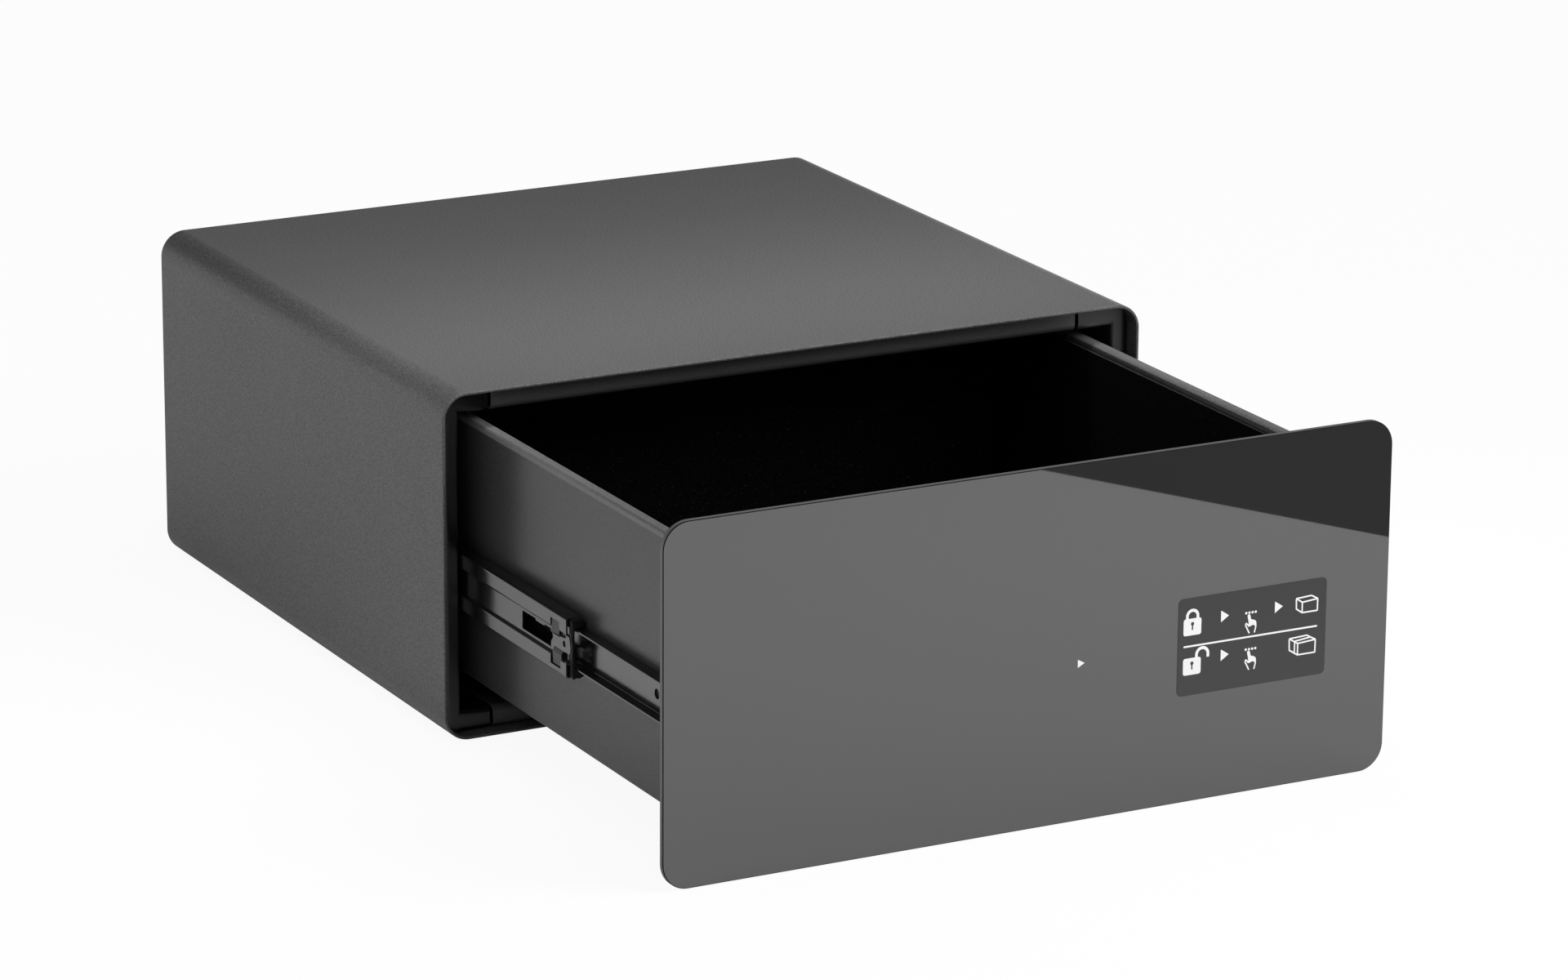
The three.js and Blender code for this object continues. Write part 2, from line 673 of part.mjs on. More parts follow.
function buildBracket(word, side) {
  const middle = bracketSheet / 2;
  const wall = casingInside - seat - middle;
  const crown = slideBack + seat + middle;
  const half = bracketCrown / 2;
  const points = [
    [side * wall, slideHeight + half + bracketFlange],
    [side * wall, slideHeight + half, bracketBend],
    [side * crown, slideHeight + half, bracketBend],
    [side * crown, slideHeight - half, bracketBend],
    [side * wall, slideHeight - half, bracketBend],
    [side * wall, slideHeight - half - bracketFlange],
  ];
  const front = frontEdge + outerStart + bracketSetBack;
  const body = prism(foldedSheet(points, bracketSheet), 'Y', front, front + bracketLength);
  const holes = [front + screwInset, front + bracketLength - screwInset].map((y) => rod(
    'X', y, slideHeight, screwShank / 2 + seat, ...across(side, -seat - bracketSheet - overrun, 0)));
  add(`slide_bracket_${word}`, cut(body, ...holes), brightZinc);
}

// Rubber buffers that the closed drawer stops against
function buildBuffer(word, side) {
  const back = rearEdge - rearInset - rearSheet - seat;
  const front = trayBack + seat + drawerSheet + openTravel + bufferPlay;
  const level = casingHeight * bufferHeightShare;
  const buffer = rod('Y', side * (drawerHalfWidth - bufferInset), level, bufferRadius, front, back);
  add(`rear_buffer_${word}`, buffer, rubber);
}

// Lock compartment
function batteryBoxInside() {
  const halfWidth = cellLength + 1.5 * seat;
  const halfHeight = 2 * cellRadius + 1.5 * seat;
  return {
    left: batteryCentre - halfWidth,
    right: batteryCentre + halfWidth,
    bottom: pinionHeight - halfHeight,
    top: pinionHeight + halfHeight,
    back: housingBack - housingSheet - seat,
    front: housingBack - housingSheet - seat - 2 * (cellRadius + seat),
  };
}

function batteryCoverEdges() {
  const box = batteryBoxInside();
  return {
    left: box.left - coverLip,
    right: box.right + coverLip,
    bottom: box.bottom - coverLip,
    top: box.top + coverLip,
  };
}

function buildHousing() {
  const middle = housingSheet / 2;
  const top = housingTop - middle;
  const back = housingBack - middle;
  const section = foldedSheet([
    [trayFront + drawerSheet + seat, top],
    [back, top, housingBend],
    [back, floorTop + seat],
  ], housingSheet);
  const half = skinInside - seat;
  const boltHoles = [-boltSpread, boltSpread].map((x) => rod(
    'Z', x, boltLine, boltRadius + seat, housingTop - housingSheet - overrun, housingTop + overrun));
  const box = batteryBoxInside();
  const window = block(box.left, box.right, back - overrun, back + overrun, box.bottom, box.top);
  add('lock_housing', cut(prism(section, 'X', -half, half), window, ...boltHoles), drawerPowderCoat);
}

function buildBatteries() {
  const box = batteryBoxInside();
  const shell = block(box.left - batteryWall, box.right + batteryWall, box.front - batteryWall, box.back,
    box.bottom - batteryWall, box.top + batteryWall);
  const hollow = block(box.left, box.right, box.front, box.back + overrun, box.bottom, box.top);
  add('battery_box', cut(shell, hollow), blackPlastic);
  [-1, 1].forEach((row) => [-1, 1].forEach((column) => {
    const near = batteryCentre + column * seat / 2;
    const ends = [near, near + column * cellLength].sort((a, b) => a - b);
    const level = pinionHeight + row * (cellRadius + seat / 2);
    const name = `battery_${row < 0 ? 'lower' : 'upper'}_${column < 0 ? 'left' : 'right'}`;
    add(name, rod('X', box.back - seat - cellRadius, level, cellRadius, ...ends), cellSleeve);
  }));
  const cover = batteryCoverEdges();
  const coverFront = housingBack + seat;
  add('battery_cover', block(cover.left, cover.right, coverFront, coverFront + coverThickness,
    cover.bottom, cover.top), blackPlastic);
}

function buildBoards() {
  const touchFront = glassBack + touchBehindGlass;
  const half = touchWidth / 2;
  const board = block(touchCentre - half, touchCentre + half, touchFront, touchFront + boardSheet,
    pinionHeight - touchHeight / 2, pinionHeight + touchHeight / 2);
  const chips = [-1, 0, 1].map((place) => block(
    touchCentre - chipSize / 2, touchCentre + chipSize / 2,
    touchFront + boardSheet / 2, touchFront + boardSheet + chipRise,
    pinionHeight + place * chipPitch - chipSize / 2, pinionHeight + place * chipPitch + chipSize / 2));
  add('touch_board', join(board, ...chips), greenBoard);

  const feet = trayFront + drawerSheet + seat;
  const controlFront = feet + controlStandOff;
  const halfWidth = controlWidth / 2;
  const halfHeight = controlHeight / 2;
  const control = block(controlCentre - halfWidth, controlCentre + halfWidth, controlFront,
    controlFront + boardSheet, pinionHeight - halfHeight, pinionHeight + halfHeight);
  const posts = [-1, 1].flatMap((x) => [-1, 1].map((z) => rod(
    'Y', controlCentre + x * (halfWidth - standOffInset), pinionHeight + z * (halfHeight - standOffInset),
    standOffRadius, feet, controlFront + boardSheet / 2)));
  const controlChips = [-1, 0, 1].map((place) => block(
    controlCentre - chipSize / 2, controlCentre + chipSize / 2,
    controlFront + boardSheet / 2, controlFront + boardSheet + chipRise,
    pinionHeight + place * chipPitch - chipSize / 2, pinionHeight + place * chipPitch + chipSize / 2));
  add('control_board', join(control, ...posts, ...controlChips), greenBoard);
}

// Motor, bridge plate and pinion
function buildMotor() {
  const middle = bridgeSheet / 2;
  const foot = trayFront + drawerSheet + seat + middle;
  const deck = glassBack + bridgeBehindGlass + middle;
  const bridge = foldedSheet([
    [pinionOffset - bridgeHalf - bridgeFlange, foot],
    [pinionOffset - bridgeHalf, foot, bridgeBend],
    [pinionOffset - bridgeHalf, deck, bridgeBend],
    [pinionOffset + bridgeHalf, deck, bridgeBend],
    [pinionOffset + bridgeHalf, foot, bridgeBend],
    [pinionOffset + bridgeHalf + bridgeFlange, foot],
  ], bridgeSheet);
  const shaftHole = rod('Y', pinionOffset, pinionHeight, shaftRadius + seat, deck - overrun, deck + overrun);
  const plate = prism(bridge, 'Z', pinionHeight - bridgeHeight / 2, pinionHeight + bridgeHeight / 2);
  add('motor_bridge', cut(plate, shaftHole), brightZinc);

  const gearboxBack = glassBack + bridgeBehindGlass - seat;
  const gearbox = block(pinionOffset - gearboxWidth / 2, pinionOffset + gearboxWidth / 2,
    gearboxBack - gearboxDepth, gearboxBack,
    pinionHeight - gearboxHeight / 2, pinionHeight + gearboxHeight / 2);
  const canTop = pinionHeight - gearboxHeight / 2;
  const can = rod('Z', pinionOffset, gearboxBack - gearboxDepth / 2, motorRadius,
    canTop - motorLength, canTop + seat);
  const shaft = rod('Y', pinionOffset, pinionHeight, shaftRadius,
    gearboxBack - seat, pinionBack + seat);
  add('lock_motor', join(gearbox, can, shaft), brightZinc);
}

// Involute pinion: the flank's angle at a radius is the involute of its pressure angle there,
// and below the base circle the flank runs straight in.
function pinionOutline() {
  const involute = (angle) => Math.tan(angle) - angle;
  const baseRadius = pitchRadius * Math.cos(pressureAngle);
  const halfTooth = (Math.PI * gearModule / 2 - backlash) / 2 / pitchRadius;
  const tipRadius = pitchRadius + pinionAddendum;
  const rootRadius = pitchRadius - pinionDedendum;
  const halfAngleAt = (radius) => halfTooth + involute(pressureAngle)
    - involute(Math.acos(Math.min(1, baseRadius / radius)));
  const flankSteps = 3;
  const flank = [[rootRadius, halfAngleAt(baseRadius)]];
  for (let step = 0; step <= flankSteps; step += 1) {
    const radius = baseRadius + (tipRadius - baseRadius) * step / flankSteps;
    flank.push([radius, halfAngleAt(radius)]);
  }
  const points = [];
  for (let tooth = 0; tooth < pinionTeeth; tooth += 1) {
    const centre = 2 * Math.PI * tooth / pinionTeeth;
    const rising = flank.map(([radius, half]) => [radius, centre - half]);
    const falling = flank.map(([radius, half]) => [radius, centre + half]).reverse();
    [...rising, ...falling].forEach(([radius, angle]) => points.push(new THREE.Vector2(
      pinionOffset + radius * Math.cos(angle), pinionHeight + radius * Math.sin(angle))));
  }
  return new THREE.Shape(points);
}

function buildPinion() {
  const outline = pinionOutline();
  outline.holes.push(disc(pinionOffset, pinionHeight, hubBore / 2));
  add('lock_pinion', prism(outline, 'Y', pinionFront, pinionBack, roundSteps), bronze);
}

// A carriage is a bar with a rack arm. The upper one has its rack on the pinion's right and reaches down
// past it, and the lower one is the same turned half round.
function carriageOutline(turn, barFar) {
  const pitch = Math.PI * gearModule;
  const halfTooth = (pitch / 2 - backlash) / 2;
  const slope = Math.tan(pressureAngle);
  const tip = pitchRadius - rackAddendum;
  const root = pitchRadius + rackDedendum;
  const far = root + rackBack;
  const low = -(boltThrow + rackPast);
  const barNear = barFar - barHeight;
  const points = [[root, low]];
  const firstTooth = Math.ceil((low + halfTooth) / pitch);
  const lastTooth = Math.floor(rackPast / pitch);
  for (let tooth = firstTooth; tooth <= lastTooth; tooth += 1) {
    const middle = (tooth + 0.5) * pitch;
    const atRoot = halfTooth + rackDedendum * slope;
    const atTip = halfTooth - rackAddendum * slope;
    points.push([root, middle - atRoot], [tip, middle - atTip], [tip, middle + atTip], [root, middle + atRoot]);
  }
  const leftEnd = -turn * pinionOffset - boltSpread - tabHalf;
  const rightEnd = -turn * pinionOffset + boltSpread + tabHalf;
  points.push([root, barNear], [leftEnd, barNear], [leftEnd, barFar], [rightEnd, barFar], [rightEnd, barNear],
    [far, barNear], [far, low]);
  return new THREE.Shape(points.map(([right, up]) => new THREE.Vector2(
    pinionOffset + turn * right, pinionHeight + turn * up)));
}

function buildCarriage(name, turn, tabFace) {
  const barFar = turn * (tabFace - pinionHeight) - tabThickness;
  const plate = prism(carriageOutline(turn, barFar), 'Y', carriageFront, carriageFront + carriageThickness);
  const levels = [tabFace, tabFace - turn * (tabThickness + seat)].sort((a, b) => a - b);
  const tabs = [-boltSpread, boltSpread].map((x) => block(
    x - tabHalf, x + tabHalf, boltLine - tabHalf, boltLine + tabHalf, ...levels));
  add(name, join(plate, ...tabs), brightZinc);
}

// A bolt is a round bar with a chamfered tip. turn is 1 for a bolt that is thrown up, -1 for one thrown down.
function buildBolt(name, x, tip, turn) {
  const profile = [[0, 0], [boltRadius, 0], [boltRadius, boltLength - boltChamfer],
    [boltRadius - boltChamfer, boltLength], [0, boltLength]];
  const bar = new THREE.LatheGeometry(profile.map(([r, up]) => new THREE.Vector2(r, up)), 2 * roundSteps);
  bar.rotateX(turn * Math.PI / 2);
  add(name, bar.translate(x, boltLine, tip - turn * boltLength), brightZinc);
}

function buildGuide(name, bottom) {
  const bar = block(-boltSpread - guideEnd, boltSpread + guideEnd, boltLine - guideDepth / 2,
    boltLine + guideDepth / 2, bottom, bottom + guideHeight);
  const holes = [-boltSpread, boltSpread].map((x) => rod(
    'Z', x, boltLine, boltRadius + seat, bottom - overrun, bottom + guideHeight + overrun));
  add(name, cut(bar, ...holes), blackPlastic);
}

buildCasing();
buildRearPanel();
sides.forEach(([word, side]) => buildSideFrame(word, side));
buildFrameRail('frame_rail_top', casingHeight, -1);
buildFrameRail('frame_rail_bottom', 0, 1);
sides.forEach(([word, side]) => buildBracket(word, side));
sides.forEach(([word, side]) => buildSlide(word, side));
sides.forEach(([word, side]) => buildBuffer(word, side));
buildDrawer();
buildDrawerFront();
buildLining();
buildHousing();
buildBatteries();
buildBoards();
buildMotor();
buildPinion();
buildCarriage('bolt_carriage_upper', 1, upperTabTop);
buildCarriage('bolt_carriage_lower', -1, lowerTabBottom);
sides.forEach(([word, side]) => {
  buildBolt(`bolt_upper_${word}`, side * boltSpread, upperTip, 1);
  buildBolt(`bolt_lower_${word}`, side * boltSpread, lowerTip, -1);
});
buildGuide('bolt_guide_upper', housingTop - housingSheet - seat - guideHeight);
buildGuide('bolt_guide_lower', floorTop + seat);

export default safe;
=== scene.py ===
import math

import bmesh
import bpy
import numpy as np
from mathutils import Matrix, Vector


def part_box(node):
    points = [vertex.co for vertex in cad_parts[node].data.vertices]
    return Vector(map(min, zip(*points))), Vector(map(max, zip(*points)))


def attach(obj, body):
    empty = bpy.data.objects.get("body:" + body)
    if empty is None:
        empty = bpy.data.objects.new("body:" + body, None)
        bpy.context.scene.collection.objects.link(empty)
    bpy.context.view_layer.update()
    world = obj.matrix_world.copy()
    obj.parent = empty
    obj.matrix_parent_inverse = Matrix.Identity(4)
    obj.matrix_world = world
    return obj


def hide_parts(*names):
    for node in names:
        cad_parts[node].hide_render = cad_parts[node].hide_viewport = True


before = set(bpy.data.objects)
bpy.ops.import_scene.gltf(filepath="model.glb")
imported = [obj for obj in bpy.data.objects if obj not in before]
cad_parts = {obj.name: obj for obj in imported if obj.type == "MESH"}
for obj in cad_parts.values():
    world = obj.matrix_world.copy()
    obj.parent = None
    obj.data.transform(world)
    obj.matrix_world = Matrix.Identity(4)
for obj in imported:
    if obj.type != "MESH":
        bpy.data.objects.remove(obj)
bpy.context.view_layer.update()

# Casing: one wrap of 1.8 mm steel sheet with rounded long edges, welded along the back of its base.
# It has a fine, slightly rough grey powder coat, and its cut edges at the mouth are rounded by hand.
# Four holes in the base take the anchor bolts.
MM = 0.001
QUARTER = math.pi / 2
CASING_HALF = 221
CASING_HEIGHT = 200
CASING_FRONT = -200
CASING_REAR = 200
CASING_WALL = 1.8
CASING_CORNER = 15
CUT_EDGE = 0.7
DEBURRED = 0.25
ANCHOR_X = 151
ANCHOR_Y = 140
ANCHOR_RADIUS = 5
TO_XYZ = {"X": [2, 0, 1], "Y": [0, 2, 1], "Z": [0, 1, 2]}


def in_scene(name, data):
    """An object that holds this data, linked to the scene."""
    thing = bpy.data.objects.new(name, data)
    bpy.context.scene.collection.objects.link(thing)
    return thing


def put_in_mesh(name, points, faces):
    """A mesh object at the origin with these points, in millimetres, and faces, turned to point outwards."""
    mesh = bpy.data.meshes.new(name)
    mesh.from_pydata((np.asarray(points, float).reshape(-1, 3) * MM).tolist(), [], faces)
    shell = bmesh.new()
    shell.from_mesh(mesh)
    bmesh.ops.recalc_face_normals(shell, faces=shell.faces)
    for face in shell.faces:
        face.smooth = True
    shell.to_mesh(mesh)
    shell.free()
    return in_scene(name, mesh)


def ring_faces(rows, columns, closed):
    """Quads of a grid whose columns go round. Each joins a point to the next one round and to the same two
    points of the next row. closed joins the last row to the first, and otherwise a face closes each end."""
    row = np.arange(rows if closed else rows - 1)[:, None]
    column = np.arange(columns)[None, :]
    after = (column + 1) % columns
    below = (row + 1) % rows
    row, below = row * columns, below * columns
    corners = [row + column, row + after, below + after, below + column]
    faces = np.stack(corners, -1).reshape(-1, 4).tolist()
    if not closed:
        first = np.arange(columns)
        faces += [first[::-1].tolist(), (first + (rows - 1) * columns).tolist()]
    return faces


def rounded_track(low_a, high_a, low_b, high_b, corner, steps):
    """A rounded rectangle as two arrays: the middle of each corner's circle, once per step of its quarter
    turn, and the outward direction there. The outline is the middle plus the radius times the direction."""
    turn = np.arange(4)[:, None] * QUARTER + np.linspace(0, QUARTER, steps + 1)[None, :]
    directions = np.stack([np.cos(turn), np.sin(turn)], -1).reshape(-1, 2)
    middles = np.array([
        [high_a - corner, high_b - corner], [low_a + corner, high_b - corner],
        [low_a + corner, low_b + corner], [high_a - corner, low_b + corner],
    ])
    return np.repeat(middles, steps + 1, 0), directions


def rounded_outline(low_a, high_a, low_b, high_b, corner, steps=6):
    """The closed outline of a rounded rectangle, one point per step of its corners."""
    middles, directions = rounded_track(low_a, high_a, low_b, high_b, corner, steps)
    return middles + corner * directions


def wrapped(name, track, corner, section, closed):
    """A section carried round a rounded rectangle across the depth. The point at place i of the track and j
    of the section is the outline's point i, drawn in by the section's first number, with its second as Y."""
    middles, directions = track
    reach = (corner - section[:, 0])[:, None, None]
    flat = middles[None] + reach * directions[None]
    depth = np.broadcast_to(section[:, 1][:, None], flat.shape[:2])
    points = np.stack([flat[..., 0], depth, flat[..., 1]], -1)
    return put_in_mesh(name, points, ring_faces(len(section), len(middles), closed))


def carried(outline, axis, start, end):
    """A flat closed outline carried along an axis between two places, as two rows of points, the lower first.
    Its two directions are Y and Z along X, X and Z along Y, and X and Y along Z."""
    along = np.broadcast_to(np.sort([start, end])[:, None, None], (2, len(outline), 1))
    spread = np.broadcast_to(outline, (2, *outline.shape))
    return np.concatenate([spread, along], -1)[..., TO_XYZ[axis]]


def prism(name, outline, axis, start, end):
    """The solid that a flat closed outline fills when it is carried along an axis."""
    outline = np.asarray(outline, float)
    return put_in_mesh(name, carried(outline, axis, start, end), ring_faces(2, len(outline), False))


def circle(middle_a, middle_b, radius, steps=32):
    """The closed outline of a circle: the middle plus the radius times cosine and sine of equal turns."""
    turn = np.arange(steps) * 2 * math.pi / steps
    return np.stack([middle_a + radius * np.cos(turn), middle_b + radius * np.sin(turn)], -1)


def keep_modifiers(piece):
    """Makes what a piece's modifiers give its own mesh."""
    made = bpy.data.meshes.new_from_object(piece.evaluated_get(bpy.context.evaluated_depsgraph_get()))
    piece.modifiers.clear()
    piece.data = made


def joined(piece, *tools, operation="DIFFERENCE"):
    """Cuts the tools out of a piece, or adds or keeps them, and takes the tools away."""
    for tool in tools:
        step = piece.modifiers.new("tool", "BOOLEAN")
        step.operation = operation
        step.solver = "EXACT"
        step.object = tool
        keep_modifiers(piece)
        bpy.data.objects.remove(tool)
    return piece


def punched(piece, outline, axis, start, end):
    """Cuts a hole of this outline through a piece, from start to end along an axis."""
    return joined(piece, prism("punch", outline, axis, start, end))


def eased(piece, width):
    """Rounds a piece's edges that turn by more than 35 degrees, as a deburred or moulded edge is, and lets
    its large faces set the shading."""
    bevel = piece.modifiers.new("eased_edges", "BEVEL")
    bevel.width = width * MM
    bevel.segments = 2
    bevel.limit_method = "ANGLE"
    bevel.angle_limit = math.radians(35)
    piece.modifiers.new("face_shading", "WEIGHTED_NORMAL").keep_sharp = True
    return piece


def fitted(piece, body, slot, material, *nodes):
    """Gives a piece its material, lets it ride on its body, and puts it in place of the imported nodes that it
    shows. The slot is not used."""
    piece.data.materials.clear()
    piece.data.materials.append(material)
    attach(piece, body)
    if nodes:
        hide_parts(*nodes)
    return piece


def placed(tree, kind, inputs=None, **settings):
    """A node with its settings, each input set to a value or joined to another node's output."""
    node = tree.nodes.new(kind)
    for key, value in settings.items():
        setattr(node, key, value)
    for key, value in (inputs or {}).items():
        if isinstance(value, bpy.types.NodeSocket):
            tree.links.new(value, node.inputs[key])
        else:
            node.inputs[key].default_value = value
    return node


def effect_group(name, numbers):
    """A shader group with a colour input and the numbers named, and the outputs Colour, Roughness and Height.
    Gives the group, its input and output nodes, and its object coordinates."""
    group = bpy.data.node_groups.new(name, "ShaderNodeTree")
    group.interface.new_socket(name="Colour", in_out="INPUT", socket_type="NodeSocketColor")
    for label, value in numbers.items():
        socket = group.interface.new_socket(name=label, in_out="INPUT", socket_type="NodeSocketFloat")
        socket.default_value = value
    group.interface.new_socket(name="Colour", in_out="OUTPUT", socket_type="NodeSocketColor")
    for label in ("Roughness", "Height"):
        group.interface.new_socket(name=label, in_out="OUTPUT", socket_type="NodeSocketFloat")
    place = placed(group, "ShaderNodeTexCoord").outputs["Object"]
    return group, group.nodes.new("NodeGroupInput"), group.nodes.new("NodeGroupOutput"), place


def worked(tree, operation, first, second=0.0, third=0.0):
    """The output of a Math node on two or three values."""
    return placed(tree, "ShaderNodeMath", {0: first, 1: second, 2: third}, operation=operation).outputs[0]


def varied_around_one(tree, value, amount):
    """1 + amount * (2 * value - 1), which goes as far below 1 as above it."""
    centred = worked(tree, "MULTIPLY_ADD", value, 2.0, -1.0)
    return worked(tree, "MULTIPLY_ADD", centred, amount, 1.0)


def noise(tree, place, scale, detail=2.0, roughness=0.5):
    """Noise at a place, its scale in swings per metre."""
    return placed(tree, "ShaderNodeTexNoise", {
        "Vector": place, "Scale": scale, "Detail": detail, "Roughness": roughness}).outputs["Fac"]


def toned(group, given, *tones):
    """The group's colour times one or more tones."""
    colour = given.outputs["Colour"]
    for tone in tones:
        colour = placed(group, "ShaderNodeVectorMath", {0: colour, 3: tone}, operation="SCALE").outputs[0]
    return colour


def completed(group, given, result, colour, wear, amount, height):
    """Gives a group its outputs: a colour, the base roughness varied by an amount of wear, and a height."""
    rough = worked(group, "MULTIPLY", given.outputs["Base roughness"], varied_around_one(group, wear, amount))
    for label, value in (("Colour", colour), ("Roughness", rough), ("Height", height)):
        group.links.new(value, result.inputs[label])
    return group


def grain_group():
    """Fine grain of a sprayed or moulded surface. Two noises, one at the grain's size and one a hand wide,
    darken and lighten the colour. The wide one changes the roughness, and the fine one is the height."""
    group, given, result, place = effect_group(
        "sprayed_grain", {"Grain per metre": 900.0, "Contrast": 0.1, "Cloud": 0.05, "Base roughness": 0.5})
    fine = noise(group, place, given.outputs["Grain per metre"], 3.0, 0.6)
    cloud = noise(group, place, 11.0)
    colour = toned(group, given, varied_around_one(group, fine, given.outputs["Contrast"]),
                   varied_around_one(group, cloud, given.outputs["Cloud"]))
    return completed(group, given, result, colour, cloud, 0.12, fine)


SPRAYED_GRAIN = grain_group()


def finish_from_group(name, group, colour, numbers, depth, **sockets):
    """A material whose colour, roughness and relief come from an effect group. depth is the relief's height
    in millimetres, and sockets are plain values of the surface shader."""
    material = bpy.data.materials.new(name)
    material.use_nodes = True
    tree = material.node_tree
    surface = tree.nodes["Principled BSDF"]
    effect = placed(tree, "ShaderNodeGroup", node_tree=group)
    effect.inputs["Colour"].default_value = (*colour, 1.0)
    for label, value in numbers.items():
        effect.inputs[label].default_value = value
    tree.links.new(effect.outputs["Colour"], surface.inputs["Base Color"])
    tree.links.new(effect.outputs["Roughness"], surface.inputs["Roughness"])
    if depth:
        relief = placed(tree, "ShaderNodeBump", {"Distance": depth * MM, "Height": effect.outputs["Height"]})
        tree.links.new(relief.outputs["Normal"], surface.inputs["Normal"])
    for label, value in sockets.items():
        surface.inputs[label.replace("_", " ")].default_value = value
    return material


def grey(level):
    """A neutral colour of this linear brightness."""
    return (level, level, level * 1.01)


def sprayed(name, colour, grain, contrast, cloud, rough, depth, **sockets):
    """A coated or moulded finish, by its grain per metre and the share of grain and clouds in its colour."""
    numbers = {"Grain per metre": grain, "Contrast": contrast, "Cloud": cloud, "Base roughness": rough}
    return finish_from_group(name, SPRAYED_GRAIN, colour, numbers, depth, **sockets)


CASING_COAT = sprayed(
    "casing_powder_coat", grey(0.08), grain=820, contrast=1.5, cloud=0.05, rough=0.4, depth=0.05, IOR=1.5,
    Specular_IOR_Level=0.35)

sheet_edge = rounded_outline(0, CASING_WALL, CASING_FRONT, CASING_REAR, CUT_EDGE, 4)
casing_track = rounded_track(-CASING_HALF, CASING_HALF, 0, CASING_HEIGHT, CASING_CORNER, 20)
casing = wrapped("casing_wrap", casing_track, CASING_CORNER, sheet_edge, True)
for x in (-ANCHOR_X, ANCHOR_X):
    for y in (-ANCHOR_Y, ANCHOR_Y):
        punched(casing, circle(x, y, ANCHOR_RADIUS), "Z", -2, 4)
eased(casing, DEBURRED)
fitted(casing, "casing", "grey_powder_coat", CASING_COAT, "casing")

# Rear panel: a shallow pressed pan of the same sheet, set 6 mm into the casing's back with its flange welded
# to the wrap all round. It is coated with the casing, and has two holes for anchor bolts into a wall.
PAN_FRONT = 192.2
PAN_REAR = 199
PAN_INSET = 2.1
PAN_BEND = 2.2
PAN_LIP = 0.6
PAN_REACH = 14.5
PAN_HOLE_X = 129


def arc(middle_a, middle_b, radius, start, end, steps=5):
    """Points of a circle from one angle to another, in equal turns."""
    turn = np.linspace(start, end, steps + 1)
    return np.stack([middle_a + radius * np.cos(turn), middle_b + radius * np.sin(turn)], -1)


inner_bend = CASING_WALL + PAN_LIP
pan_section = np.concatenate([
    [[PAN_REACH, PAN_FRONT]],
    arc(PAN_INSET + PAN_BEND, PAN_FRONT + PAN_BEND, PAN_BEND, -QUARTER, -2 * QUARTER),
    arc(PAN_INSET + PAN_LIP, PAN_REAR - PAN_LIP, PAN_LIP, 2 * QUARTER, QUARTER, 3),
    arc(PAN_INSET + CASING_WALL - PAN_LIP, PAN_REAR - PAN_LIP, PAN_LIP, QUARTER, 0, 3),
    arc(PAN_INSET + inner_bend, PAN_FRONT + inner_bend, PAN_LIP, 2 * QUARTER, 3 * QUARTER),
    [[PAN_REACH, PAN_FRONT + CASING_WALL]],
])
rear_pan = wrapped("rear_pan", casing_track, CASING_CORNER, pan_section, False)
for x in (-PAN_HOLE_X, PAN_HOLE_X):
    punched(rear_pan, circle(x, CASING_HEIGHT / 2, ANCHOR_RADIUS), "Y", PAN_FRONT - 2, PAN_FRONT + 4)
eased(rear_pan, DEBURRED)
fitted(rear_pan, "casing", "grey_powder_coat", CASING_COAT, "rear_panel")

# Front frame: a post with two short arms on each side and a rail between them at the top and the bottom, all
# folded from 1.8 mm sheet and welded inside the casing's mouth, 8.5 mm back from its edge. A thin seam is
# left between arm and rail. The rails' long inner legs have slots for the bolts.
SIDES = (("left", -1), ("right", 1))
FRAME_SHEET = 1.8
FRAME_FACE = -190.6
FRAME_BACK = -178.5
POST_WALL = 218.0
POST_OPENING = 208.3
FRAME_OUTER_LEVEL = 3.0
FRAME_INNER_LEVEL = 13.7
ARM_ENDS = {"left": 189.7, "right": 185.1}
RAIL_ENDS = -187.4, 183.0
SHELF_BACK = -157.5
POST_BENDS = 4.2, 1.0
LIP_BENDS = 1.6, 2.9
BOLT_X = 130
SLOT_HALF = 6.6
SLOT_DEPTH = -183.6, -170.4


def fold_line(points, steps):
    """The middle line of a folded sheet. Each point is [across, up, bend radius], and a bend is an arc that
    touches both legs."""
    line = []
    for place, (a, b, radius) in enumerate(points):
        here = np.array([a, b], float)
        if radius == 0:
            line.append(here[None])
            continue
        back = np.array(points[place - 1][:2], float) - here
        ahead = np.array(points[place + 1][:2], float) - here
        back /= np.linalg.norm(back)
        ahead /= np.linalg.norm(ahead)
        half = math.acos(np.dot(back, ahead)) / 2
        middle = here + (back + ahead) / np.linalg.norm(back + ahead) * radius / math.sin(half)
        start = here + back * radius / math.tan(half) - middle
        turn = np.sign(back[0] * ahead[1] - back[1] * ahead[0]) * (2 * half - math.pi)
        angle = turn * np.linspace(0, 1, steps + 1)
        line.append(middle + np.stack([
            start[0] * np.cos(angle) - start[1] * np.sin(angle),
            start[0] * np.sin(angle) + start[1] * np.cos(angle)], -1))
    return np.concatenate(line)


